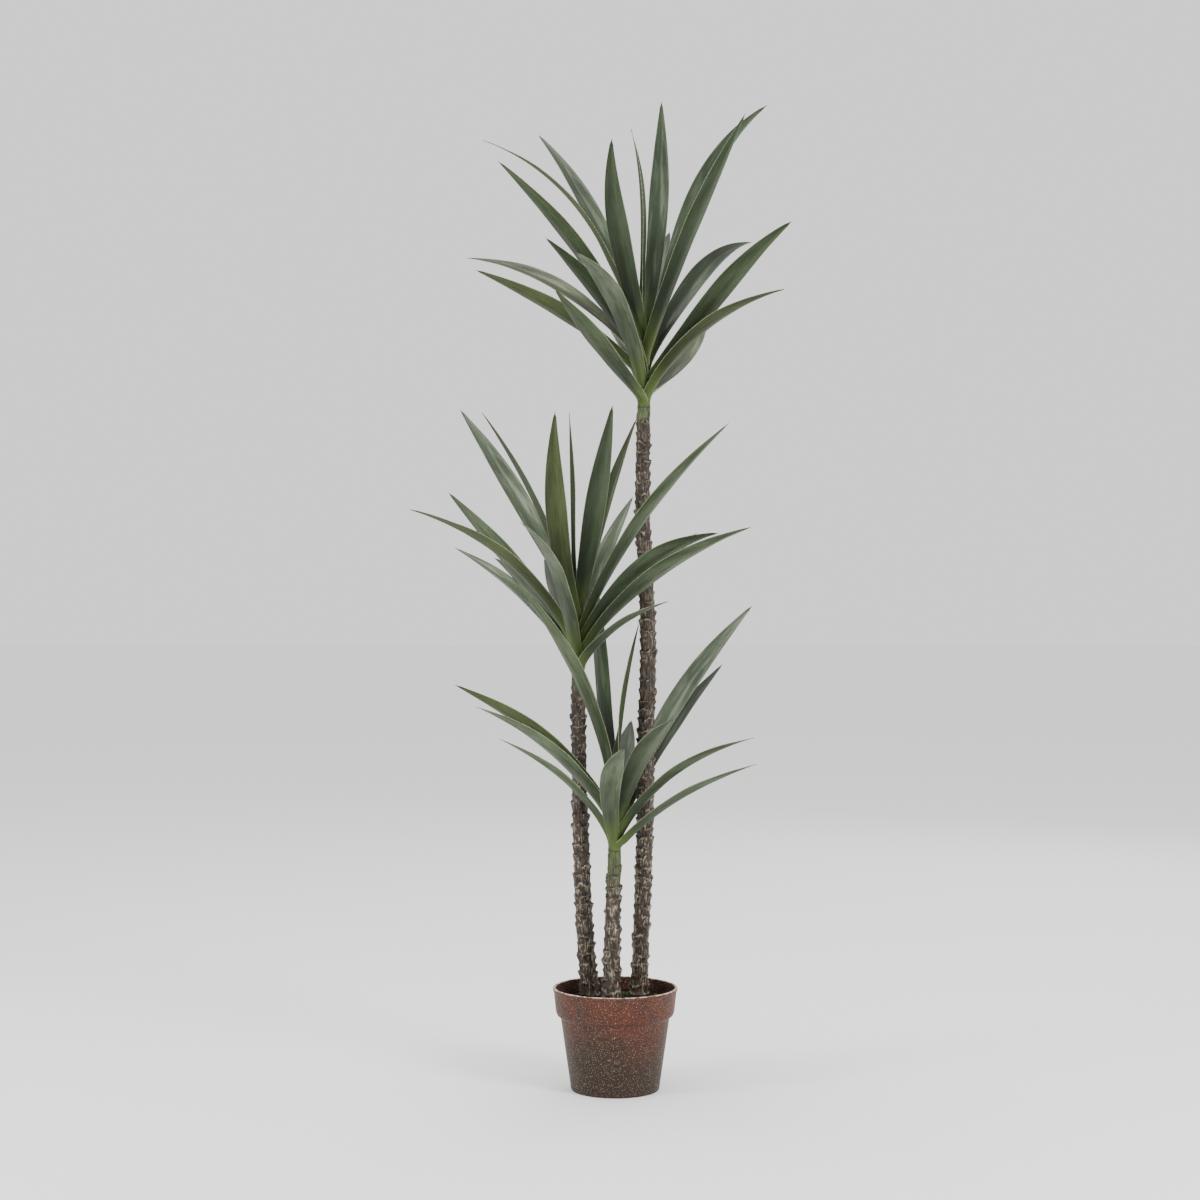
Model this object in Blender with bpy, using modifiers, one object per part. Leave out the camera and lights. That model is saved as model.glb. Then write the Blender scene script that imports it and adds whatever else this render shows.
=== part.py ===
"""Potted artificial yucca: three ringed stems of unlike height in one pot, each with a head of sword leaves.

Metres, +Z up. The origin is the middle of the pot's flat underside. A heading is the way that a leaf points,
seen from above: 0 is +X, 90 is +Y.
"""

import math
from typing import NamedTuple

import bmesh
import bpy
from mathutils import Matrix, Vector

# ---------------------------------------------------------------- driving dimensions

CLEAR = 0.0003  # gap kept between pieces that touch

# Pot
POT_HEIGHT = 0.148
POT_RIM_RADIUS = 0.0905
POT_BASE_RADIUS = 0.0640
POT_BODY_TOP_RADIUS = 0.0790
POT_BODY_TOP = 0.104  # height where the body runs in under the collar
POT_COLLAR_FOOT_RADIUS = 0.0862
POT_COLLAR_FOOT = 0.109  # height of the collar's lower edge
POT_COLLAR_ROUND = 0.005  # height over which that edge rounds in
POT_COLLAR_TUCK = 0.0016  # how far it rounds in
POT_LIP_HEIGHT = 0.004
POT_LIP_OVERHANG = 0.0012
POT_WALL = 0.0026
POT_FLOOR = 0.004
POT_STEPS = 40

# Potting fill
FILL_HEIGHT = 0.131
FILL_CROWN = 0.002  # how far the top falls to the pot's wall
FILL_FLAT_RADIUS = 0.062  # the level middle, which the stems stand on

# Stems
RING_PITCH = 0.0145
RING_STEP = 0.0011  # how far the rim of a leaf scar stands out
RING_RIM_AT = 0.78  # share of the pitch where that rim is
FLARE_HEIGHT = 0.030
TAPER_FROM = 0.35  # share of the trunk's length above which it tapers
STEM_BEVEL = 4  # bevel resolution of the round stems
FLAT_CUT = 0.004  # straight length at a flat cut
NECK_STEPS = 8
NECK_TAPER_POWER = 1.5

# Leaves
LEAF_WIDTH = 0.031
LEAF_BASE_WIDTH = 0.010
LEAF_TIP_WIDTH = 0.0022
LEAF_WIDEST_AT = 0.60  # share of the length
LEAF_SWELL_POWER = 1.1
LEAF_TIP_POWER = 1.7
LEAF_GUTTER_DEG = 14.0  # how steeply each half rises from the midrib
LEAF_THICKNESS_SHARE = 0.0104  # of the length
LATE_BEND = 256 / 27  # makes the late bend's height one where it is greatest, at three quarters
LEAF_ROLL_FULL_AT = 0.50  # share of the length where a leaf has turned its whole roll
BEND_AT = 0.40  # share of the chord that the bend's handle stands over
LEAF_STEPS = 10


class Leaf(NamedTuple):
    """One sword leaf. Heading and roll in degrees, the rest in metres from its root on the neck.

    Bow and sway bend the leaf upwards and sideways early in its length, late and late_sway near its tip.
    """

    heading: float
    root: float
    reach: float
    rise: float
    bow: float
    sway: float = 0.0
    late: float = 0.0
    late_sway: float = 0.0
    roll: float = 0.0


class Stem(NamedTuple):
    """One stem: the axis as (height, x, y), the radii of trunk and neck, and the head's leaves."""

    name: str
    axis: tuple
    foot_radius: float
    trunk_radius: float
    top_radius: float
    flare: float
    neck_foot: float
    neck_top: float
    neck_radius: float
    neck_tip_radius: float
    leaves: tuple


TALL = Stem(
    name="tall",
    axis=(
        (0.131, 0.035, 0.040),
        (0.345, 0.043, 0.025),
        (0.500, 0.045, 0.014),
        (0.650, 0.048, 0.012),
        (0.850, 0.040, 0.012),
        (0.995, 0.042, 0.012),
        (1.125, 0.041, 0.012),
    ),
    foot_radius=0.0122,
    trunk_radius=0.0122,
    top_radius=0.0100,
    flare=0.0015,
    neck_foot=0.990,
    neck_top=1.122,
    neck_radius=0.0086,
    neck_tip_radius=0.0050,
    leaves=(
        Leaf(-166, 1.071, 0.238, 0.297, 0.043, late=0.015, roll=-15),
        Leaf(131, 1.094, 0.240, 0.333, 0.020, late=0.003, roll=-15),
        Leaf(-124, 1.060, 0.355, 0.230, 0.025),
        Leaf(-117, 1.053, 0.300, 0.140, 0.015),
        Leaf(-105, 1.016, 0.370, 0.143, 0.040),
        Leaf(142, 1.053, 0.345, 0.190, 0.034, late=0.003, roll=-25),
        Leaf(-132, 1.036, 0.345, 0.116, 0.015, roll=15),
        Leaf(-109, 0.999, 0.375, 0.113, 0.000),
        Leaf(-99, 1.094, 0.305, 0.224, -0.005, sway=-0.006, late_sway=-0.006),
        Leaf(170, 1.118, 0.018, 0.280, 0.006, late=0.005),
        Leaf(74, 1.106, 0.106, 0.355, 0.000, sway=-0.009),
        Leaf(-1, 1.071, 0.180, 0.360, 0.018, late=0.020, roll=70),
        Leaf(-64, 1.065, 0.297, 0.294, 0.013, roll=12),
        Leaf(-53, 1.024, 0.320, 0.193, 0.005, late=0.008, roll=-28),
        Leaf(56, 1.046, 0.315, 0.230, 0.030, late=0.010, roll=36),
        Leaf(-53, 1.006, 0.305, 0.122, 0.030),
        Leaf(70, 1.008, 0.305, 0.155, -0.005, sway=-0.016),
        Leaf(77, 1.060, 0.195, 0.220, 0.015),
        Leaf(108, 1.036, 0.225, 0.198, 0.010),
        Leaf(103, 1.018, 0.260, 0.145, 0.015),
    ),
)

MIDDLE = Stem(
    name="middle",
    axis=(
        (0.131, -0.037, 0.036),
        (0.235, -0.045, 0.035),
        (0.360, -0.050, 0.034),
        (0.480, -0.053, 0.032),
        (0.595, -0.054, 0.030),
        (0.720, -0.055, 0.030),
    ),
    foot_radius=0.0126,
    trunk_radius=0.0122,
    top_radius=0.0102,
    flare=0.0015,
    neck_foot=0.592,
    neck_top=0.712,
    neck_radius=0.0086,
    neck_tip_radius=0.0050,
    leaves=(
        Leaf(133, 0.693, 0.272, 0.314, 0.013, roll=-28),
        Leaf(-166, 0.658, 0.143, 0.324, 0.022),
        Leaf(-96, 0.677, 0.265, 0.286, -0.010, sway=-0.011, late_sway=-0.002),
        Leaf(-175, 0.704, 0.012, 0.281, 0.000),
        Leaf(-79, 0.690, 0.260, 0.282, 0.000),
        Leaf(35, 0.682, 0.107, 0.300, 0.009),
        Leaf(-45, 0.657, 0.295, 0.295, 0.028),
        Leaf(54, 0.655, 0.140, 0.212, 0.012),
        Leaf(-48, 0.628, 0.350, 0.180, 0.030, roll=-14),
        Leaf(-45, 0.646, 0.276, 0.156, 0.028, late=0.006, roll=-32),
        Leaf(55, 0.636, 0.325, 0.180, 0.025),
        Leaf(-56, 0.613, 0.225, 0.095, 0.014, roll=12),
        Leaf(-144, 0.648, 0.223, 0.213, 0.004, roll=24),
        Leaf(-128, 0.636, 0.360, 0.195, 0.040),
        Leaf(116, 0.627, 0.310, 0.150, 0.015),
        Leaf(163, 0.608, 0.193, 0.180, 0.022, roll=-20),
        Leaf(-102, 0.619, 0.345, 0.193, 0.040, roll=-30),
        Leaf(103, 0.648, 0.245, 0.128, 0.000),
    ),
)

SHORT = Stem(
    name="short",
    axis=(
        (0.131, -0.006, -0.020),
        (0.235, -0.004, -0.010),
        (0.347, -0.001, -0.001),
        (0.450, -0.001, 0.000),
    ),
    foot_radius=0.0140,
    trunk_radius=0.0118,
    top_radius=0.0098,
    flare=0.0015,
    neck_foot=0.345,
    neck_top=0.448,
    neck_radius=0.0084,
    neck_tip_radius=0.0050,
    leaves=(
        Leaf(-154, 0.398, 0.250, 0.193, 0.022, roll=28),
        Leaf(-121, 0.386, 0.355, 0.184, 0.024),
        Leaf(-150, 0.363, 0.187, 0.151, 0.018),
        Leaf(-137, 0.424, 0.196, 0.318, 0.033),
        Leaf(97, 0.431, 0.240, 0.324, 0.000, sway=0.006, roll=35),
        Leaf(40, 0.441, 0.048, 0.237, 0.008, roll=-45),
        Leaf(50, 0.386, 0.340, 0.315, 0.028, roll=24),
        Leaf(58, 0.374, 0.325, 0.234, 0.019),
        Leaf(-78, 0.374, 0.350, 0.182, 0.028),
        Leaf(84, 0.416, 0.270, 0.104, 0.000),
        Leaf(-88, 0.356, 0.290, 0.158, 0.022, sway=-0.011),
        Leaf(-49, 0.363, 0.285, 0.161, 0.027),
        Leaf(-42, 0.349, 0.260, 0.136, 0.015),
    ),
)

# Colours (linear), roughness
POT_RED = (0.150, 0.060, 0.038, 1.0)
FILL_DARK = (0.012, 0.010, 0.008, 1.0)
BARK_BROWN = (0.060, 0.040, 0.026, 1.0)
NECK_GREEN = (0.120, 0.150, 0.050, 1.0)
LEAF_GREEN = (0.055, 0.085, 0.045, 1.0)


# ---------------------------------------------------------------- scene, materials

def clear_scene():
    """Remove every object, so that only the plant is left."""
    for item in list(bpy.data.objects):
        bpy.data.objects.remove(item, do_unlink=True)


def plain_material(name, colour, roughness):
    """A Principled material with one colour."""
    material = bpy.data.materials.new(name)
    material.use_nodes = True
    shader = material.node_tree.nodes["Principled BSDF"]
    shader.inputs["Base Color"].default_value = colour
    shader.inputs["Roughness"].default_value = roughness
    shader.inputs["Metallic"].default_value = 0.0
    return material


def add_object(name, data, collection, material):
    """Link data as an object with one material."""
    item = bpy.data.objects.new(name, data)
    collection.objects.link(item)
    data.materials.append(material)
    return item


# ---------------------------------------------------------------- pot and fill

def pot_outer_profile():
    """Radius and height down the pot's outer side, from the lip to the underside."""
    lip_foot = POT_HEIGHT - POT_LIP_HEIGHT
    return [
        (POT_RIM_RADIUS, POT_HEIGHT),
        (POT_RIM_RADIUS, lip_foot),
        (POT_RIM_RADIUS - POT_LIP_OVERHANG, lip_foot - POT_LIP_OVERHANG),
        (POT_COLLAR_FOOT_RADIUS, POT_COLLAR_FOOT + POT_COLLAR_ROUND),
        (POT_COLLAR_FOOT_RADIUS - POT_COLLAR_TUCK, POT_COLLAR_FOOT),
        (POT_BODY_TOP_RADIUS, POT_BODY_TOP),
        (POT_BASE_RADIUS, 0.0),
    ]


def pot_inner_profile(gap=0.0):
    """Radius and height up the pot's inner side, a wall in from the outer one, with a further gap."""
    inset = POT_WALL + gap
    floor = POT_FLOOR + gap
    floor_radius = POT_BASE_RADIUS + (POT_BODY_TOP_RADIUS - POT_BASE_RADIUS) * floor / POT_BODY_TOP
    return [
        (floor_radius - inset, floor),
        (POT_BODY_TOP_RADIUS - inset, POT_BODY_TOP + 0.5 * inset),
        (POT_COLLAR_FOOT_RADIUS - inset, POT_COLLAR_FOOT + POT_COLLAR_ROUND + 0.5 * inset),
        (POT_RIM_RADIUS - POT_LIP_OVERHANG - inset, POT_HEIGHT),
    ]


def add_turned(name, profile, collection, material):
    """Turn a profile, given from the axis round to the axis, about Z with a Screw modifier."""
    mesh = bpy.data.meshes.new(name)
    form = bmesh.new()
    corners = [form.verts.new((radius, 0.0, height)) for radius, height in profile]
    for first, second in zip(corners, corners[1:]):
        form.edges.new((first, second))
    form.to_mesh(mesh)
    form.free()
    item = add_object(name, mesh, collection, material)
    screw = item.modifiers.new("turn", "SCREW")
    screw.axis = "Z"
    screw.angle = math.tau
    screw.steps = POT_STEPS
    screw.render_steps = POT_STEPS
    screw.use_merge_vertices = True
    screw.merge_threshold = 0.00005
    return item


def add_pot(collection):
    """The pot: a turned shell with a collar and a small lip."""
    inner = pot_inner_profile()
    profile = [(0.0, POT_FLOOR), *inner, *pot_outer_profile(), (0.0, 0.0)]
    material = plain_material("pot_plastic", POT_RED, 0.6)
    return add_turned("pot", profile, collection, material)


def add_fill(collection):
    """The fill: a plug that stands a hair clear of the pot's wall and floor, slightly crowned."""
    foot, shoulder, collar, rim = pot_inner_profile(CLEAR)
    edge = FILL_HEIGHT - FILL_CROWN
    edge_radius = collar[0] + (rim[0] - collar[0]) * (edge - collar[1]) / (rim[1] - collar[1])
    profile = [
        (0.0, FILL_HEIGHT),
        (FILL_FLAT_RADIUS, FILL_HEIGHT),
        (edge_radius, edge),
        collar,
        shoulder,
        foot,
        (0.0, foot[1]),
    ]
    material = plain_material("fill_grit", FILL_DARK, 0.95)
    return add_turned("potting_fill", profile, collection, material)


# ---------------------------------------------------------------- stems

def axis_at(stem, height):
    """The point of a stem's axis at a height, on a smooth curve through its given points."""
    points = stem.axis
    if height <= points[0][0]:
        return Vector((points[0][1], points[0][2], height))
    last = len(points) - 2
    index = min(last, max(i for i in range(last + 1) if points[i][0] <= height))
    low, high = points[index], points[index + 1]
    span = high[0] - low[0]
    share = (height - low[0]) / span

    def slope(at, column):
        before, after = points[max(0, at - 1)], points[min(len(points) - 1, at + 1)]
        return (after[column] - before[column]) / (after[0] - before[0])

    def blend(column):
        ease = share * share * (3 - 2 * share)
        start = slope(index, column) * span * share * (1 - share) ** 2
        end = slope(index + 1, column) * span * share * share * (1 - share)
        return low[column] + ease * (high[column] - low[column]) + start - end

    return Vector((blend(1), blend(2), height))


def trunk_radius_at(stem, height):
    """The trunk's radius between its scars, with its taper and the flare at its foot."""
    share = (height - FILL_HEIGHT) / (stem.neck_foot - FILL_HEIGHT)
    if share < TAPER_FROM:
        radius = stem.foot_radius + (stem.trunk_radius - stem.foot_radius) * share / TAPER_FROM
    else:
        fall = (share - TAPER_FROM) / (1 - TAPER_FROM)
        radius = stem.trunk_radius + (stem.top_radius - stem.trunk_radius) * fall
    flare = max(0.0, 1 - (height - FILL_HEIGHT) / FLARE_HEIGHT)
    return radius - 0.5 * RING_STEP + stem.flare * flare * flare


def add_tube(name, stations, collection, material):
    """A capped tube through stations of (point, radius), as a bevelled curve."""
    curve = bpy.data.curves.new(name, "CURVE")
    curve.dimensions = "3D"
    curve.bevel_depth = 1.0
    curve.bevel_resolution = STEM_BEVEL
    curve.use_fill_caps = True
    spline = curve.splines.new("POLY")
    spline.points.add(len(stations) - 1)
    for point, (place, radius) in zip(spline.points, stations):
        point.co = (*place, 1.0)
        point.radius = radius
    return add_object(name, curve, collection, material)


def add_trunk(stem, collection):
    """The ringed trunk, from its flat cut on the fill to the neck, each ring widening to a scar's rim."""
    foot = FILL_HEIGHT + CLEAR
    top = stem.neck_foot - CLEAR
    ringed = top - foot - 2 * FLAT_CUT
    rings = round(ringed / RING_PITCH)
    pitch = ringed / rings
    start = axis_at(stem, foot + FLAT_CUT)
    end = axis_at(stem, top - FLAT_CUT)
    stations = [(Vector((start.x, start.y, foot)), trunk_radius_at(stem, foot))]
    for ring in range(rings):
        low = foot + FLAT_CUT + ring * pitch
        rim = low + RING_RIM_AT * pitch
        stations.append((axis_at(stem, low), trunk_radius_at(stem, low)))
        stations.append((axis_at(stem, rim), trunk_radius_at(stem, rim) + RING_STEP))
    stations.append((end, trunk_radius_at(stem, top)))
    stations.append((Vector((end.x, end.y, top)), trunk_radius_at(stem, top)))
    material = plain_material(f"{stem.name}_bark", BARK_BROWN, 0.85)
    return add_tube(f"{stem.name}_trunk", stations, collection, material)


def neck_radius_at(stem, height):
    """The neck's radius, tapering to its tip."""
    share = (height - stem.neck_foot) / (stem.neck_top - stem.neck_foot)
    return stem.neck_radius + (stem.neck_tip_radius - stem.neck_radius) * max(0.0, share) ** NECK_TAPER_POWER


def add_neck(stem, collection):
    """The green neck that carries the leaves, standing on the trunk's flat top."""
    trunk_end = axis_at(stem, stem.neck_foot - CLEAR - FLAT_CUT)
    stations = []
    for height in (stem.neck_foot, stem.neck_foot + FLAT_CUT):
        stations.append((Vector((trunk_end.x, trunk_end.y, height)), stem.neck_radius))
    for step in range(1, NECK_STEPS + 1):
        height = stem.neck_foot + (stem.neck_top - stem.neck_foot) * step / NECK_STEPS
        stations.append((axis_at(stem, height), neck_radius_at(stem, height)))
    material = plain_material(f"{stem.name}_neck_green", NECK_GREEN, 0.6)
    return add_tube(f"{stem.name}_neck", stations, collection, material)


# ---------------------------------------------------------------- leaves

def half_width(share):
    """Half the blade's width at a share of its length: slim at the root, widest past the middle, long tip."""
    if share < LEAF_WIDEST_AT:
        swell = math.sin(0.5 * math.pi * share / LEAF_WIDEST_AT)
        width = LEAF_BASE_WIDTH + (LEAF_WIDTH - LEAF_BASE_WIDTH) * swell ** LEAF_SWELL_POWER
    else:
        fall = ((share - LEAF_WIDEST_AT) / (1 - LEAF_WIDEST_AT)) ** LEAF_TIP_POWER
        width = LEAF_WIDTH + (LEAF_TIP_WIDTH - LEAF_WIDTH) * fall
    return 0.5 * width


class Blade:
    """The middle line of one leaf, with its side and upper directions."""

    def __init__(self, stem, leaf):
        """Set out the blade's middle line, from the neck's side to the tip."""
        heading = math.radians(leaf.heading)
        outward = Vector((math.cos(heading), math.sin(heading), 0.0))
        self.side = Vector((-outward.y, outward.x, 0.0))
        self.leaf = leaf
        chord = outward * leaf.reach + Vector((0.0, 0.0, leaf.rise))
        upper = chord.cross(self.side).normalized()
        self.thickness = LEAF_THICKNESS_SHARE * chord.length
        bend = 2 * (upper * leaf.bow + self.side * leaf.sway)
        steepness = abs((chord * BEND_AT + bend).normalized().z)
        stand_off = neck_radius_at(stem, leaf.root) + CLEAR + 0.5 * self.thickness * steepness
        self.start = axis_at(stem, leaf.root) + outward * stand_off
        self.end = axis_at(stem, leaf.root) + chord
        self.handle = self.start + (self.end - self.start) * BEND_AT + bend
        self.late = LATE_BEND * (upper * leaf.late + self.side * leaf.late_sway)

    def point(self, share):
        """The middle line's point at a share of its length."""
        rest = 1 - share
        early = self.start * rest * rest + self.handle * 2 * rest * share + self.end * share * share
        return early + self.late * share**3 * rest

    def frame(self, share):
        """The side and upper directions at a share of the length, turned by the roll so far."""
        early = 2 * ((self.handle - self.start) * (1 - share) + (self.end - self.handle) * share)
        forward = (early + self.late * share * share * (3 - 4 * share)).normalized()
        across = (self.side - forward * self.side.dot(forward)).normalized()
        turned = min(1.0, share / LEAF_ROLL_FULL_AT)
        turned = turned * turned * (3 - 2 * turned)
        roll = Matrix.Rotation(math.radians(self.leaf.roll) * turned, 3, forward)
        across = roll @ across
        return across, forward.cross(across)


def add_leaf(name, stem, leaf, collection, material):
    """A sword leaf: an open gutter-shaped surface, given its thickness by Solidify."""
    blade = Blade(stem, leaf)
    rise = math.tan(math.radians(LEAF_GUTTER_DEG))
    form = bmesh.new()
    bmesh.ops.create_grid(form, x_segments=LEAF_STEPS, y_segments=2, size=0.5)
    for corner in form.verts:
        share = corner.co.x + 0.5
        out = 2 * corner.co.y * half_width(share)
        across, upper = blade.frame(share)
        corner.co = blade.point(share) + across * out + upper * abs(out) * rise
    mesh = bpy.data.meshes.new(name)
    form.to_mesh(mesh)
    form.free()
    item = add_object(name, mesh, collection, material)
    solid = item.modifiers.new("thickness", "SOLIDIFY")
    solid.thickness = blade.thickness
    solid.offset = 0.0
    solid.use_even_offset = True
    return item


def add_head(stem, collection):
    """Every leaf of one stem's head."""
    for number, leaf in enumerate(stem.leaves, start=1):
        name = f"{stem.name}_leaf_{number:02d}"
        material = plain_material(f"{name}_green", LEAF_GREEN, 0.5)
        add_leaf(name, stem, leaf, collection, material)


def main():
    """Build the potted yucca."""
    clear_scene()
    collection = bpy.data.collections.new("potted_yucca")
    bpy.context.scene.collection.children.link(collection)
    add_pot(collection)
    add_fill(collection)
    for stem in (TALL, MIDDLE, SHORT):
        add_trunk(stem, collection)
        add_neck(stem, collection)
        add_head(stem, collection)


main()
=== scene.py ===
"""Looks of the potted artificial yucca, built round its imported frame.

Metres, +Z up, in the frame's own axes: the origin is the middle of the pot's flat underside. Each
sub-assembly is a class that builds its meshes and dresses them. The blades, the stems' axes and the pot's
profile follow the same named sizes and rules as the frame's solids, at a finer step.
"""

import logging
import math
from collections.abc import Callable, Sequence
from dataclasses import dataclass, field
from enum import Enum
from typing import NamedTuple

import bpy
from mathutils import Matrix, Vector, noise


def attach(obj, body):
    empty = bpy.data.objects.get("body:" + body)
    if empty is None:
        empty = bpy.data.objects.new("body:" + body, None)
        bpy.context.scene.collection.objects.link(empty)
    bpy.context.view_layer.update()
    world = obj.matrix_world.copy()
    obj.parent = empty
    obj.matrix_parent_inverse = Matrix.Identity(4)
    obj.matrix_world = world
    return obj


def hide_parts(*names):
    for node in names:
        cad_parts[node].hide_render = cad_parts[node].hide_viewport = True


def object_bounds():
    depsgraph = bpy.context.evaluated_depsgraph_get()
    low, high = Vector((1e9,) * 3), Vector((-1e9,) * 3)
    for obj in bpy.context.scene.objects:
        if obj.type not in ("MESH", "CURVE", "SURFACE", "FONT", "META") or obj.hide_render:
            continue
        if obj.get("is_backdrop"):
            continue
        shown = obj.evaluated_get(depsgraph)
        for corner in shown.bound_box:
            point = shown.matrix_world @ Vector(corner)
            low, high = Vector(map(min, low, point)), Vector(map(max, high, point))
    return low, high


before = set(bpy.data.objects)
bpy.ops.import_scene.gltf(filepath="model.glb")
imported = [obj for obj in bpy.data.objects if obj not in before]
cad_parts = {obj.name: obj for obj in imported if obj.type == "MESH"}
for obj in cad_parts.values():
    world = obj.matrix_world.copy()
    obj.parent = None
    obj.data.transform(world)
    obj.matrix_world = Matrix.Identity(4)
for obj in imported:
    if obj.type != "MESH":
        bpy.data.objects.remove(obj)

LOG = logging.getLogger("yucca")
SCATTER_SPREAD = 7.31
SCATTER_SHIFT = Vector((3.7, 11.3, 5.9))
CORNER_REACH = 0.48  # how much of a profile's edge one rounding may take up

Colour = tuple[float, float, float]
Span = tuple[float, ...]  # where a change begins and ends, then its results there, 0 and 1 where left out
Socket = bpy.types.NodeSocket


# ---------------------------------------------------------------- small helpers

def smooth(value: float) -> float:
    """Return value eased from 0 to 1, held to that range."""
    held = min(1.0, max(0.0, value))
    return held * held * (3 - 2 * held)


def between(first: float, second: float, share: float) -> float:
    """Return the number at a share of the way from first to second."""
    return first + (second - first) * share


def ramp(value: float, start: float, end: float, low: float = 0.0, high: float = 1.0) -> float:
    """Return the number from low to high that value has reached on its way from start to end, eased."""
    return between(low, high, smooth((value - start) / (end - start)))


def scatter(*seed: float) -> float:
    """Return a repeatable number from 0 to 1 for a seed of one to three numbers."""
    place = Vector((*seed, 0.0, 0.0)[:3]) * SCATTER_SPREAD + SCATTER_SHIFT
    return 0.5 + 0.5 * noise.cell(place)


def linear(colour: Colour) -> tuple[float, float, float, float]:
    """Return a display colour, parts from 0 to 255, as a linear one by the sRGB curve, with full alpha."""
    parts = []
    for part in colour:
        share = part / 255
        parts.append(share / 12.92 if share <= 0.04045 else ((share + 0.055) / 1.055) ** 2.4)
    return (parts[0], parts[1], parts[2], 1.0)


def hermite(
    ends: tuple[Vector, Vector], pulls: tuple[Vector, Vector], share: float
) -> tuple[Vector, Vector]:
    """Follow the cubic curve between two places.

    Args:
        ends: Where it starts and ends.
        pulls: The way it leaves the one and reaches the other, and how strongly.
        share: How far along it, from 0 to 1.

    Returns:
        The curve's point there, and the direction in which it runs.
    """
    square, cube = share**2, share**3
    point = (
        ends[0] * (2 * cube - 3 * square + 1)
        + pulls[0] * (cube - 2 * square + share)
        + ends[1] * (3 * square - 2 * cube)
        + pulls[1] * (cube - square)
    )
    slope = (
        ends[0] * (6 * square - 6 * share)
        + pulls[0] * (3 * square - 4 * share + 1)
        + ends[1] * (6 * share - 6 * square)
        + pulls[1] * (3 * square - 2 * share)
    )
    return point, slope.normalized()


# ---------------------------------------------------------------- node materials

class Pattern(NamedTuple):
    """The measures of a soft noise.

    Attributes:
        scale: Its cells per metre.
        detail: How many finer layers it has.
        warp: How far it is warped by itself.
        run: Its cells lengthwise for each one across, so that under 1 it is drawn out.
    """

    scale: float
    detail: float = 3.0
    warp: float = 0.0
    run: float = 1.0


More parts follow.
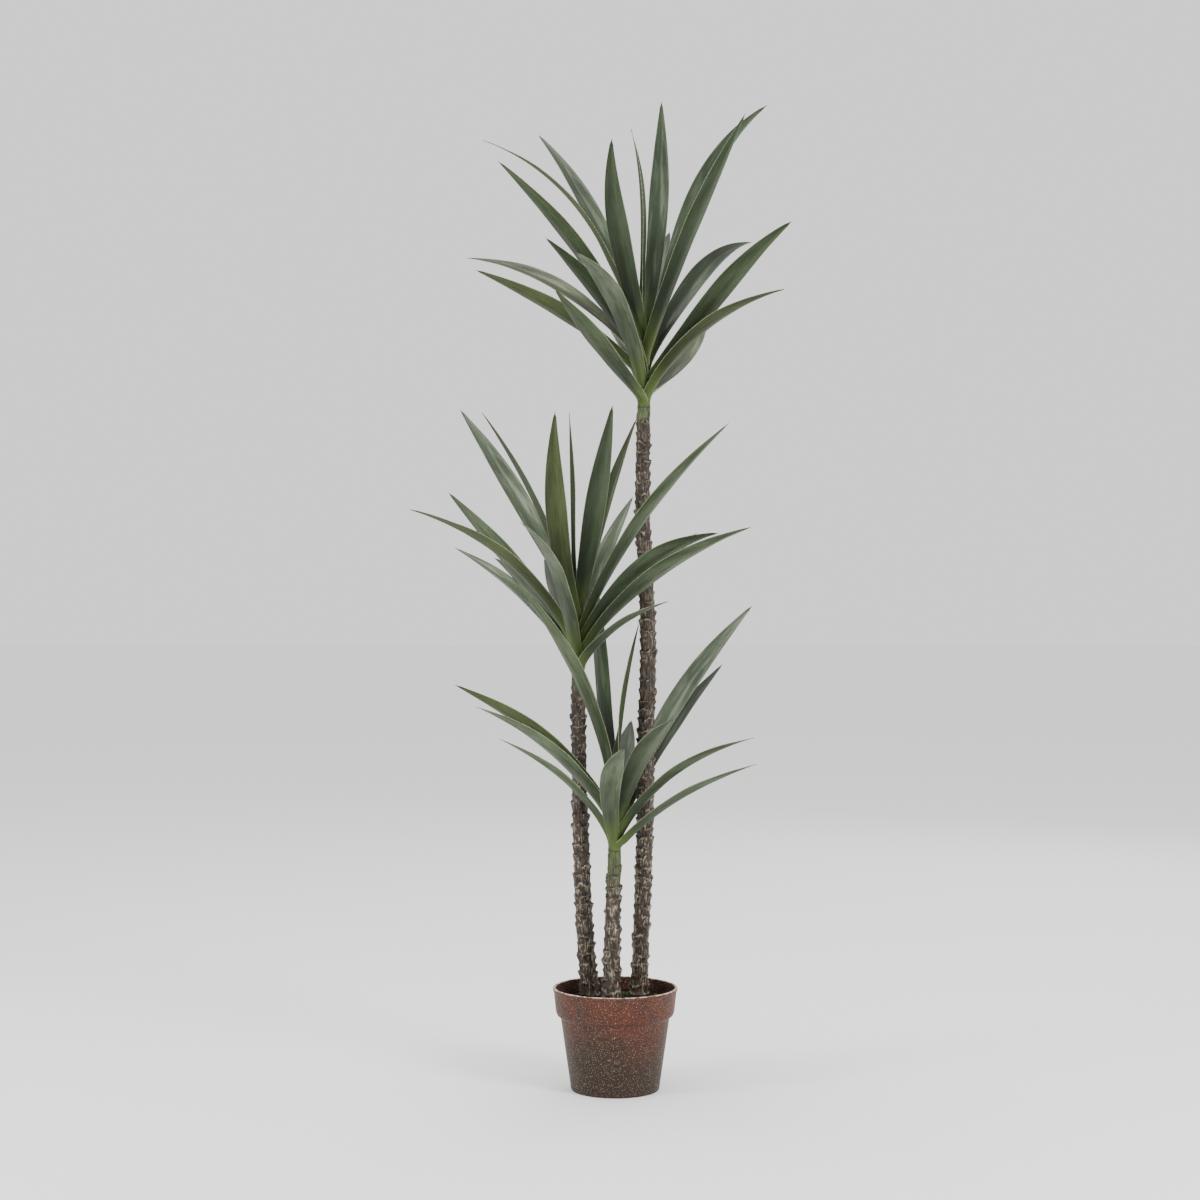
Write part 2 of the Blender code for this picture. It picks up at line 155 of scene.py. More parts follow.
class Painter:
    """Lays out the nodes of one procedural material."""

    def __init__(self, name: str) -> None:
        """Start an empty Principled material.

        Args:
            name: The material's name.
        """
        self.material = bpy.data.materials.new(name)
        self.material.use_nodes = True
        self.tree = self.material.node_tree
        self.shader = self.tree.nodes["Principled BSDF"]
        self._objects: Socket | None = None

    def node(self, kind: str, **settings: object) -> bpy.types.Node:
        """Add a node.

        Args:
            kind: The node's type.
            settings: Its properties.

        Returns:
            The new node.
        """
        made = self.tree.nodes.new(kind)
        for key, value in settings.items():
            setattr(made, key, value)
        return made

    def feed(self, socket: Socket, value: object) -> None:
        """Link a socket to value, or set it where value is plain."""
        if isinstance(value, bpy.types.NodeSocket):
            self.tree.links.new(value, socket)
        else:
            socket.default_value = value

    def place(self) -> Socket:
        """Return the point's place in the frame, in metres."""
        if self._objects is None:
            self._objects = self.node("ShaderNodeTexCoord").outputs["Object"]
        return self._objects

    def height(self) -> Socket:
        """Return the point's height above the ground."""
        split = self.node("ShaderNodeSeparateXYZ")
        self.feed(split.inputs[0], self.place())
        return split.outputs["Z"]

    def measure(self, name: str) -> Socket:
        """Return a mesh's own number of that name at the point."""
        return self.node("ShaderNodeAttribute", attribute_name=name).outputs["Fac"]

    def cloud(self, pattern: Pattern, where: Socket) -> Socket:
        """Add soft noise.

        Args:
            pattern: Its measures.
            where: The place it is read at.

        Returns:
            A number from 0 to 1.
        """
        made = self.node("ShaderNodeTexNoise")
        self.feed(made.inputs["Vector"], where)
        made.inputs["Scale"].default_value = pattern.scale
        made.inputs["Detail"].default_value = pattern.detail
        made.inputs["Distortion"].default_value = pattern.warp
        return made.outputs["Fac"]

    def stretched(self, where: Socket, scale: tuple[float, float, float]) -> Socket:
        """Return a place scaled by axis, so that a pattern is drawn out along one of them."""
        mapping = self.node("ShaderNodeMapping")
        self.feed(mapping.inputs["Vector"], where)
        mapping.inputs["Scale"].default_value = scale
        return mapping.outputs["Vector"]

    def upright(self, pattern: Pattern) -> Socket:
        """Return a soft noise that is drawn out upwards where its run is under 1."""
        where = self.place()
        if pattern.run != 1:
            where = self.stretched(where, (1.0, 1.0, pattern.run))
        return self.cloud(pattern, where)

    def lengthwise(self, pattern: Pattern) -> Socket:
        """Return a soft noise that is drawn out along a blade, read at the blade's own grain in metres."""
        grain = self.node("ShaderNodeUVMap", uv_map="grain").outputs["UV"]
        return self.cloud(pattern, self.stretched(grain, (pattern.run, 1.0, 1.0)))

    def cells(self, where: Socket, scale: float) -> tuple[Socket, Socket]:
        """Add scattered cells.

        Args:
            where: The place they are read at.
            scale: Cells per metre.

        Returns:
            The distance to the nearest cell's middle, and that cell's own random colour.
        """
        made = self.node("ShaderNodeTexVoronoi")
        self.feed(made.inputs["Vector"], where)
        made.inputs["Scale"].default_value = scale
        return made.outputs["Distance"], made.outputs["Color"]

    def grade(self, value: Socket, start: float, end: float, low: float = 0.0, high: float = 1.0) -> Socket:
        """Carry value's range from start to end over to one from low to high, eased and held.

        Args:
            value: The number read.
            start: Where the change begins.
            end: Where it is over.
            low: The result at start.
            high: The result at end.

        Returns:
            The carried number.
        """
        made = self.node("ShaderNodeMapRange", interpolation_type="SMOOTHSTEP")
        self.feed(made.inputs["Value"], value)
        for name, number in (("From Min", start), ("From Max", end), ("To Min", low), ("To Max", high)):
            made.inputs[name].default_value = number
        return made.outputs["Result"]

    def sum(self, operation: str, first: object, second: object = 0.0) -> Socket:
        """Return the result of a Math node's operation on two numbers."""
        made = self.node("ShaderNodeMath", operation=operation)
        self.feed(made.inputs[0], first)
        self.feed(made.inputs[1], second)
        return made.outputs[0]

    def product(self, first: object, second: object) -> Socket:
        """Return two numbers' product."""
        return self.sum("MULTIPLY", first, second)

    def blend(self, share: object, first: object, second: object) -> Socket:
        """Mix two colours.

        Args:
            share: How much of the second.
            first: A colour or a socket.
            second: A colour or a socket.

        Returns:
            The mixed colour.
        """
        made = self.node("ShaderNodeMix", data_type="RGBA")
        self.feed(made.inputs["Factor"], share)
        sockets = [s for s in made.inputs if s.type == "RGBA"]
        for socket, colour in zip(sockets, (first, second)):
            self.feed(socket, linear(colour) if isinstance(colour, tuple) else colour)
        return next(s for s in made.outputs if s.type == "RGBA")

    def relief(self, height: Socket, depth: float, under: Socket | None = None) -> Socket:
        """Add a bump.

        Args:
            height: The pattern, from 0 to 1.
            depth: Its depth in metres.
            under: A coarser bump that it lies on.

        Returns:
            The bumped normal.
        """
        made = self.node("ShaderNodeBump")
        made.inputs["Distance"].default_value = depth
        self.feed(made.inputs["Height"], height)
        if under is not None:
            self.feed(made.inputs["Normal"], under)
        return made.outputs["Normal"]

    def finish(
        self, colour: object, roughness: object, normal: Socket | None = None, gloss: float = 0.3
    ) -> bpy.types.Material:
        """Feed the shader.

        Args:
            colour: The surface's colour.
            roughness: Its roughness.
            normal: Its bumped normal.
            gloss: How strongly it mirrors, 0.5 for bare plastic.

        Returns:
            The material.
        """
        self.feed(self.shader.inputs["Base Color"], colour)
        self.feed(self.shader.inputs["Roughness"], roughness)
        self.shader.inputs["Specular IOR Level"].default_value = gloss
        if normal is not None:
            self.feed(self.shader.inputs["Normal"], normal)
        return self.material


# ---------------------------------------------------------------- finishes

class LeafTone(Enum):
    """The casts of leaf in a head, each with its deep, face and bloom colours."""

    GREY = ((24, 32, 21), (74, 87, 64), (138, 146, 124))
    BLUE = ((22, 29, 21), (66, 77, 61), (128, 136, 120))
    SILVER = ((44, 53, 41), (104, 114, 95), (184, 188, 172))
    FROST = ((38, 46, 34), (97, 109, 86), (168, 175, 155))
    OLIVE = ((27, 34, 17), (76, 86, 54), (130, 138, 104))
    DEEP = ((11, 17, 8), (40, 54, 31), (78, 90, 64))


@dataclass(frozen=True)
class LeafSide:
    """What both sides of a leaf share: painted shade towards the root, a fresh base, a dry tip and a pale
    edge.

    The spans are shares of the leaf's length, and of its half width for the edge.
    """

    tone: LeafTone
    base: Colour = (70, 85, 42)
    tip: Colour = (54, 44, 32)
    edge: Colour = (130, 140, 108)
    painted_root_shade: Span = (0.28, 0.62, 0.45, 0.0)
    base_span: Span = (0.07, 0.27)
    base_fray: float = 0.10
    tip_span: Span = (0.955, 1.0)
    edge_span: Span = (0.92, 0.97, 0.0, 0.5)

    def trimmed(self, paint: Painter, body: Socket, patches: Socket) -> Socket:
        """Lay the painted root shade, base, tip and edge over a leaf's colour.

        Args:
            paint: The material's painter.
            body: The colour so far.
            patches: The pattern that frays the base's upper end.

        Returns:
            The finished colour.
        """
        along = paint.measure("along")
        # Painted shade: the leaf darkens towards its root, deep inside the head.
        body = paint.blend(paint.grade(along, *self.painted_root_shade), body, self.tone.value[0])
        frayed = paint.sum("ADD", along, paint.product(patches, self.base_fray))
        base = paint.sum("SUBTRACT", 1.0, paint.grade(frayed, *self.base_span))
        body = paint.blend(base, body, self.base)
        body = paint.blend(paint.grade(along, *self.tip_span), body, self.tip)
        side = paint.sum("ABSOLUTE", paint.measure("across"))
        return paint.blend(paint.grade(side, *self.edge_span), body, self.edge)


@dataclass(frozen=True)
class LeafFace(LeafSide):
    """The waxy upper face of a leaf: ribs along it under a pale bloom, and one half in shade."""

    ribs: Pattern = Pattern(900.0, 2.0, run=0.035)
    patches: Pattern = Pattern(130.0, 4.0, warp=0.3, run=0.10)
    drift: Pattern = Pattern(16.0, run=0.5)
    face_share: Span = (0.25, 0.75, 0.15, 0.95)
    bloom_share: Span = (0.46, 0.80, 0.0, 0.6)
    rib_share: Span = (0.40, 0.75, 0.0, 0.30)
    shaded_half: Span = (-0.35, 0.25, 0.0, 0.34)
    roughness: Span = (0.3, 0.8, 0.50, 0.34)
    rib_depth: float = 0.00012
    gloss: float = 0.22

    def make(self, name: str) -> bpy.types.Material:
        """Return the finish as a material of that name."""
        deep, face, bloom = self.tone.value
        paint = Painter(name)
        ribs, patches = paint.lengthwise(self.ribs), paint.lengthwise(self.patches)
        body = paint.blend(paint.grade(paint.lengthwise(self.drift), *self.face_share), deep, face)
        body = paint.blend(paint.grade(patches, *self.bloom_share), body, bloom)
        body = paint.blend(paint.grade(ribs, *self.rib_share), body, deep)
        body = paint.blend(paint.grade(paint.measure("across"), *self.shaded_half), body, deep)
        body = self.trimmed(paint, body, patches)
        rough = paint.grade(patches, *self.roughness)
        return paint.finish(body, rough, paint.relief(ribs, self.rib_depth), gloss=self.gloss)


@dataclass(frozen=True)
class LeafBack(LeafSide):
    """The duller underside of a leaf, with stronger ribs and an olive cast."""

    base: Colour = (72, 86, 44)
    tip: Colour = (52, 42, 30)
    edge: Colour = (120, 130, 98)
    # Painted shade towards the root, stronger on the underside.
    painted_root_shade: Span = (0.28, 0.62, 0.55, 0.0)
    base_span: Span = (0.08, 0.32)
    base_fray: float = 0.12
    olive: Colour = (56, 65, 40)
    ribs: Pattern = Pattern(620.0, 2.0, run=0.03)
    patches: Pattern = Pattern(90.0, run=0.15)
    face_share: Span = (0.3, 0.7, 0.1, 0.9)
    rib_share: Span = (0.40, 0.72, 0.0, 0.45)
    shaded_half: Span = (-0.3, 0.3, 0.36, 0.0)
    roughness: float = 0.55
    rib_depth: float = 0.00022
    gloss: float = 0.12

    def make(self, name: str) -> bpy.types.Material:
        """Return the finish as a material of that name."""
        deep, face, _ = self.tone.value
        paint = Painter(name)
        ribs, patches = paint.lengthwise(self.ribs), paint.lengthwise(self.patches)
        body = paint.blend(paint.grade(patches, *self.face_share), self.olive, face)
        body = paint.blend(paint.grade(ribs, *self.rib_share), body, deep)
        body = paint.blend(paint.grade(paint.measure("across"), *self.shaded_half), body, deep)
        body = self.trimmed(paint, body, patches)
        return paint.finish(body, self.roughness, paint.relief(ribs, self.rib_depth), gloss=self.gloss)


@dataclass(frozen=True)
class LeafRim:
    """The thin toothed margin of a leaf, pale, and dry towards the tip."""

    pale: Colour = (140, 147, 116)
    dull: Colour = (84, 93, 66)
    dry: Colour = (84, 70, 50)
    spots: Pattern = Pattern(420.0, 2.0)
    pale_share: Span = (0.42, 0.62)
    dry_span: Span = (0.94, 1.0)
    spot_depth: float = 0.0001
    roughness: float = 0.6

    def make(self, name: str) -> bpy.types.Material:
        """Return the finish as a material of that name."""
        paint = Painter(name)
        spots = paint.upright(self.spots)
        body = paint.blend(paint.grade(spots, *self.pale_share), self.dull, self.pale)
        body = paint.blend(paint.grade(paint.measure("along"), *self.dry_span), body, self.dry)
        return paint.finish(body, self.roughness, paint.relief(spots, self.spot_depth))


@dataclass(frozen=True)
class Bark:
    """Moulded ringed bark: brown fibre, olive towards the neck, and painted light and shade.

    Near-black painted shade lies in its recesses and creases. The pale rims are partly wear and partly
    painted highlight, and the pale streaks are partly pale fibre and partly painted highlight. The streaks
    grow stronger by height above the ground: the lower bark is the palest.
    """

    olive_from: float
    olive_to: float
    # Near-black painted shade for the bark's recesses and creases.
    hollow_shade: Colour = (16, 12, 9)
    brown: Colour = (63, 50, 36)
    # The pale colour of the rims and streaks, partly wear and partly painted highlight.
    worn: Colour = (164, 151, 128)
    olive: Colour = (74, 87, 44)
    shade: Colour = (42, 50, 26)
    fibre: Pattern = Pattern(560.0, 4.0, warp=0.4, run=0.14)
    blotch: Pattern = Pattern(110.0, 4.0, run=0.6)
    streaks: Pattern = Pattern(520.0, run=0.14)
    brown_share: Span = (0.38, 0.64)
    streak_share: Span = (0.48, 0.68)
    streak_patches: Span = (0.38, 0.62)
    streaks_by_height: Span = (0.18, 0.62, 0.88, 0.40)
    rim_share: Span = (0.62, 1.0)
    rim_patches: Span = (0.36, 0.56, 0.25, 1.0)
    rim_strength: float = 0.6
    olive_fray: Span = (0.3, 0.7, -0.010, 0.010)
    olive_strength: float = 0.92
    olive_share: Span = (0.35, 0.62)
    pit_share: Span = (0.0, 1.0, 0.0, 0.85)
    roughness: Span = (0.3, 0.7, 0.62, 0.40)
    streak_depth: float = 0.0010
    fibre_depth: float = 0.0008
    gloss: float = 0.34

    def make(self, name: str) -> bpy.types.Material:
        """Return the finish as a material of that name."""
        paint = Painter(name)
        fibre, blotch, streaks = (paint.upright(each) for each in (self.fibre, self.blotch, self.streaks))
        # Painted shade: near-black where the fibre lies low, in the bark's recesses.
        body = paint.blend(paint.grade(fibre, *self.brown_share), self.hollow_shade, self.brown)
        # Pale streaks, partly pale fibre and partly painted highlight, stronger lower down.
        pale = paint.grade(streaks, *self.streak_share)
        pale = paint.product(pale, paint.grade(blotch, *self.streak_patches))
        pale = paint.product(pale, paint.grade(paint.height(), *self.streaks_by_height))
        body = paint.blend(pale, body, self.worn)
        # Pale rims, partly wear and partly painted highlight.
        worn = paint.grade(paint.measure("rim"), *self.rim_share)
        worn = paint.product(worn, paint.grade(blotch, *self.rim_patches))
        body = paint.blend(paint.product(worn, self.rim_strength), body, self.worn)
        level = paint.sum("ADD", paint.height(), paint.grade(blotch, *self.olive_fray))
        green = paint.grade(level, self.olive_from, self.olive_to, 0.0, self.olive_strength)
        young = paint.blend(paint.grade(fibre, *self.olive_share), self.shade, self.olive)
        body = paint.blend(green, body, young)
        # Painted shade: the creases above the rims are darkened near-black.
        body = paint.blend(paint.grade(paint.measure("pit"), *self.pit_share), body, self.hollow_shade)
        bumped = paint.relief(fibre, self.fibre_depth, paint.relief(streaks, self.streak_depth))
        return paint.finish(body, paint.grade(blotch, *self.roughness), bumped, gloss=self.gloss)


@dataclass(frozen=True)
class NeckGreen:
    """The neck's dull yellow green, browned in its creases and for a little way up from its foot."""

    foot: float
    fresh: Colour = (68, 81, 41)
    shade: Colour = (42, 51, 26)
    scar: Colour = (48, 41, 27)
    streaks: Pattern = Pattern(700.0, run=0.10)
    blotch: Pattern = Pattern(160.0, 4.0)
    fresh_share: Span = (0.35, 0.65)
    brown_rise: tuple[float, float] = (0.002, 0.022)
    brown_strength: float = 0.55
    brown_patches: Span = (0.40, 0.62)
    pit_share: Span = (0.0, 1.0, 0.0, 0.5)
    streak_depth: float = 0.0003
    roughness: float = 0.5
    gloss: float = 0.2

    def make(self, name: str) -> bpy.types.Material:
        """Return the finish as a material of that name."""
        paint = Painter(name)
        streaks = paint.upright(self.streaks)
        body = paint.blend(paint.grade(streaks, *self.fresh_share), self.shade, self.fresh)
        start, end = (self.foot + rise for rise in self.brown_rise)
        low = paint.grade(paint.height(), start, end, self.brown_strength, 0.0)
        low = paint.product(low, paint.grade(paint.upright(self.blotch), *self.brown_patches))
        body = paint.blend(low, body, self.scar)
        body = paint.blend(paint.grade(paint.measure("pit"), *self.pit_share), body, self.scar)
        bumped = paint.relief(streaks, self.streak_depth)
        return paint.finish(body, self.roughness, bumped, gloss=self.gloss)


@dataclass(frozen=True)
class PotPlastic:
    """Moulded plastic: terracotta at the collar, browner below, darkened inside with painted shade, with
    dense pale flecks and a fine grain.

    Two sizes of fleck lie over each other, and each has a size, told by the distance from its cell's
    middle, and a count, told by how many cells have one. The larger kind is denser where the drift is low.
    """

    clay: Colour = (77, 35, 22)
    smoke: Colour = (38, 30, 23)
    # Painted shade for the pot's inside.
    inside_shade: Colour = (46, 20, 14)
    fleck: Colour = (188, 168, 150)
    # The lip's pale colour, partly wear and partly painted highlight.
    worn: Colour = (205, 180, 164)
    drift: Pattern = Pattern(13.0, 1.5, run=0.7)
    dust: Pattern = Pattern(700.0)
    soot: Pattern = Pattern(26.0, 2.0, run=0.8)
    rubbing: Pattern = Pattern(160.0, 2.0)
    drift_rise: Span = (0.25, 0.75, -0.026, 0.026)
    smoke_span: Span = (0.042, 0.126, 0.92, 0.0)
    dust_share: Span = (0.42, 0.64, 0.0, 0.5)
    soot_share: Span = (0.46, 0.70, 0.0, 0.6)
    inside_shade_strength: float = 0.8
    fleck_scale: float = 590.0
    fleck_crowding: Span = (0.3, 0.7, 0.12, -0.12)
    fleck_size: Span = (0.15, 0.24, 1.0, 0.0)
    fleck_count: Span = (0.42, 0.52)
    fine_finer: float = 2.1
    fine_size: Span = (0.2, 0.34, 0.4, 0.0)
    fine_count: Span = (0.4, 0.5)
    fleck_strength: float = 0.85
    lip_span: Span = (0.1469, 0.1474)
    rubbed_and_highlight_share: Span = (0.40, 0.58, 0.1, 0.95)
    roughness: Span = (0.3, 0.7, 0.46, 0.62)
    dust_depth: float = 0.00008
    gloss: float = 0.2

    def flecks(self, paint: Painter, drift: Socket) -> Socket:
        """Return how far each point is covered by a fleck of either size."""
        gap, tint = paint.cells(paint.place(), self.fleck_scale)
        crowd = paint.sum("ADD", tint, paint.grade(drift, *self.fleck_crowding))
        dots = paint.product(paint.grade(gap, *self.fleck_size), paint.grade(crowd, *self.fleck_count))
        gap, tint = paint.cells(paint.place(), self.fine_finer * self.fleck_scale)
        fine = paint.product(paint.grade(gap, *self.fine_size), paint.grade(tint, *self.fine_count))
        return paint.product(paint.sum("MAXIMUM", dots, fine), self.fleck_strength)

    def make(self, name: str) -> bpy.types.Material:
        """Return the finish as a material of that name."""
        paint = Painter(name)
        drift, dust, soot = (paint.upright(each) for each in (self.drift, self.dust, self.soot))
        level = paint.sum("ADD", paint.height(), paint.grade(drift, *self.drift_rise))
        body = paint.blend(paint.grade(level, *self.smoke_span), self.clay, self.smoke)
        body = paint.blend(paint.grade(dust, *self.dust_share), body, self.smoke)
        body = paint.blend(paint.grade(soot, *self.soot_share), body, self.smoke)
        # Painted shade: the pot's inside is darkened.
        body = paint.blend(paint.product(paint.measure("inside"), self.inside_shade_strength), body, self.inside_shade)
        body = paint.blend(self.flecks(paint, drift), body, self.fleck)
        # The lip's top is paled, partly as wear and partly as painted highlight.
        lip = paint.grade(paint.height(), *self.lip_span)
        rubbed_and_highlight = paint.product(lip, paint.grade(paint.upright(self.rubbing), *self.rubbed_and_highlight_share))
        body = paint.blend(rubbed_and_highlight, body, self.worn)
        rough = paint.grade(dust, *self.roughness)
        return paint.finish(body, rough, paint.relief(dust, self.dust_depth), gloss=self.gloss)


@dataclass(frozen=True)
class DarkFill:
    """Set potting fill: near-black crumbs with brown and green bits."""

    black: Colour = (12, 10, 8)
    brown: Colour = (36, 28, 22)
    green: Colour = (30, 34, 17)
    crumbs: Pattern = Pattern(380.0, 4.0)
    patches: Pattern = Pattern(60.0)
    brown_share: Span = (0.48, 0.70)
    green_share: Span = (0.60, 0.72, 0.0, 0.7)
    roughness: Span = (0.3, 0.7, 0.95, 0.75)
    crumb_depth: float = 0.0008
    gloss: float = 0.1

    def make(self, name: str) -> bpy.types.Material:
        """Return the finish as a material of that name."""
        paint = Painter(name)
        crumbs = paint.upright(self.crumbs)
        body = paint.blend(paint.grade(crumbs, *self.brown_share), self.black, self.brown)
        body = paint.blend(paint.grade(paint.upright(self.patches), *self.green_share), body, self.green)
        rough = paint.grade(crumbs, *self.roughness)
        return paint.finish(body, rough, paint.relief(crumbs, self.crumb_depth), gloss=self.gloss)


@dataclass(frozen=True)
class Crumb:
    """Loose bits on the fill: bark chips, grit or moss, told by their two colours."""

    dark: Colour
    light: Colour
    mottle: Pattern = Pattern(600.0)
    light_share: Span = (0.36, 0.64)
    mottle_depth: float = 0.0003
    roughness: float = 0.8
    gloss: float = 0.15

    def make(self, name: str) -> bpy.types.Material:
        """Return the finish as a material of that name."""
        paint = Painter(name)
        mottle = paint.upright(self.mottle)
        body = paint.blend(paint.grade(mottle, *self.light_share), self.dark, self.light)
        return paint.finish(body, self.roughness, paint.relief(mottle, self.mottle_depth), gloss=self.gloss)


# ---------------------------------------------------------------- meshes

@dataclass
class Loft:
    """A closed skin through rings of points, with a flat cap at each end.

    Attributes:
        name: The piece's name.
        rings: Rings of equally many points, in turn.
        slots: The material slot of each side of a ring, or none for slot 0 all round.
        grain: How far along each ring stands, and how far round each of its points and the first again.
        measures: Numbers of the mesh's own, one for each point.
        crease_deg: Edges sharper than this stay sharp.
    """

    name: str
    rings: list[list[Vector]]
    slots: Sequence[int] = ()
    grain: tuple[Sequence[float], Sequence[float]] | None = None
    measures: dict[str, list[float]] = field(default_factory=dict)
    crease_deg: float = 48.0

    def build(self, materials: Sequence[bpy.types.Material]) -> bpy.types.Object:
        """Make the piece.

        Args:
            materials: Its material slots.

        Returns:
            The new object, linked to the scene.
        """
        sides = len(self.rings[0])
        faces = []
        for ring in range(len(self.rings) - 1):
            start, over = ring * sides, (ring + 1) * sides
            for at in range(sides):
                after = (at + 1) % sides
                faces.append((start + at, start + after, over + after, over + at))
        last = (len(self.rings) - 1) * sides
        faces.append(tuple(reversed(range(sides))))
        faces.append(tuple(range(last, last + sides)))
        mesh = bpy.data.meshes.new(self.name)
        mesh.from_pydata([point for ring in self.rings for point in ring], [], faces)
        if self.slots:
            each = list(self.slots) * (len(self.rings) - 1) + [self.slots[0]] * 2
            mesh.polygons.foreach_set("material_index", each)
        for name, numbers in self.measures.items():
            mesh.attributes.new(name, "FLOAT", "POINT").data.foreach_set("value", numbers)
        if self.grain is not None:
            self._lay_grain(mesh, sides)
        mesh.validate()
        mesh.set_sharp_from_angle(angle=math.radians(self.crease_deg))
        for material in materials:
            mesh.materials.append(material)
        item = bpy.data.objects.new(self.name, mesh)
        bpy.context.scene.collection.objects.link(item)
        return item

    def _lay_grain(self, mesh: bpy.types.Mesh, sides: int) -> None:
        """Write the grain's two distances as a UV map of that name."""
        along, about = self.grain
        layer = mesh.uv_layers.new(name="grain")
        flat = []
        for ring in range(len(self.rings) - 1):
            for at in range(sides):
                low, high = along[ring], along[ring + 1]
                flat += (low, about[at], low, about[at + 1], high, about[at + 1], high, about[at])
        for end in (0, -1):
            order = range(sides) if end else reversed(range(sides))
            for at in order:
                flat += (along[end], about[at])
        layer.uv.foreach_set("vector", flat)


def turned(profile: Sequence[tuple[float, float]], sides: int) -> list[list[Vector]]:
    """Turn a profile of radius and height about the upright axis.

    Args:
        profile: Its stations in turn.
        sides: Points in each ring.

    Returns:
        One ring for each station.
    """
    rings = []
    for radius, height in profile:
        turns = (math.tau * side / sides for side in range(sides))
        rings.append([Vector((radius * math.cos(turn), radius * math.sin(turn), height)) for turn in turns])
    return rings


def softened(profile: Sequence[tuple[float, float, float]], steps: int = 6) -> list[tuple[float, float]]:
    """Round a profile's corners.

    Args:
        profile: Radius, height and the corner's rounding, in turn.
        steps: Points in each rounded corner.

    Returns:
        The rounded profile's radii and heights.
    """
    places = [Vector((radius, height)) for radius, height, _ in profile]
    smoothed = [tuple(places[0])]
    for index in range(1, len(places) - 1):
        corner, rounding = places[index], profile[index][2]
        before, after = places[index - 1] - corner, places[index + 1] - corner
        if rounding <= 0:
            smoothed.append(tuple(corner))
            continue
        start = corner + before.normalized() * min(rounding, CORNER_REACH * before.length)
        end = corner + after.normalized() * min(rounding, CORNER_REACH * after.length)
        for step in range(steps + 1):
            share = step / steps
            point = start * (1 - share) ** 2 + corner * 2 * share * (1 - share) + end * share * share
            smoothed.append(tuple(point))
    smoothed.append(tuple(places[-1]))
    return smoothed


# ---------------------------------------------------------------- plans of the stems

class Leaf(NamedTuple):
    """One sword leaf. Heading and roll in degrees, the rest in metres from its root on the neck.

    Bow and sway bend it upwards and sideways early in its length, late and late_sway near its tip.
    """

    heading: float
    root: float
    reach: float
    rise: float
    bow: float
    sway: float = 0.0
    late: float = 0.0
    late_sway: float = 0.0
    roll: float = 0.0
    tone: LeafTone = LeafTone.GREY


@dataclass(frozen=True)
class StemPlan:
    """Where one stem stands and how thick it is.

    Attributes:
        name: The stem's name, with which its nodes' names begin.
        axis: Its axis as height, x and y, in turn.
        foot_radius: The trunk's radius at the fill.
        trunk_radius: Its radius where the taper begins.
        top_radius: Its radius at the neck.
        neck_foot: Height of the neck's lower end.
        neck_top: Height of its upper end.
        neck_radius: The neck's radius at its foot.
        olive: Length of trunk below the neck that is still greenish.
        leaves: The head's leaves.
        flare: How far the trunk's foot widens.
        neck_tip_radius: The neck's radius at its top.
        neck_taper: The power by which the neck thins upwards.
    """

    name: str
    axis: tuple[tuple[float, float, float], ...]
    foot_radius: float
    trunk_radius: float
    top_radius: float
    neck_foot: float
    neck_top: float
    neck_radius: float
    olive: float
    leaves: tuple[Leaf, ...]
    flare: float = 0.0015
    neck_tip_radius: float = 0.0050
    neck_taper: float = 1.5

    def axis_at(self, height: float) -> Vector:
        """Return the axis's point at a height, on a smooth curve through its given points."""
        points = self.axis
        if height <= points[0][0]:
            return Vector((points[0][1], points[0][2], height))
        last = len(points) - 2
        index = min(last, max(i for i in range(last + 1) if points[i][0] <= height))
        low, high = points[index], points[index + 1]
        span = high[0] - low[0]
        share = (height - low[0]) / span
        sides = []
        for column in (1, 2):
            eased = low[column] + share * share * (3 - 2 * share) * (high[column] - low[column])
            start = self._slope(index, column) * span * share * (1 - share) ** 2
            end = self._slope(index + 1, column) * span * share * share * (1 - share)
            sides.append(eased + start - end)
        return Vector((*sides, height))

    def _slope(self, at: int, column: int) -> float:
        """Return the axis's lean at one of its given points."""
        points = self.axis
        before, after = points[max(0, at - 1)], points[min(len(points) - 1, at + 1)]
        return (after[column] - before[column]) / (after[0] - before[0])

    def neck_radius_at(self, height: float) -> float:
        """Return the neck's radius at a height."""
        share = max(0.0, (height - self.neck_foot) / (self.neck_top - self.neck_foot))
        return between(self.neck_radius, self.neck_tip_radius, share**self.neck_taper)


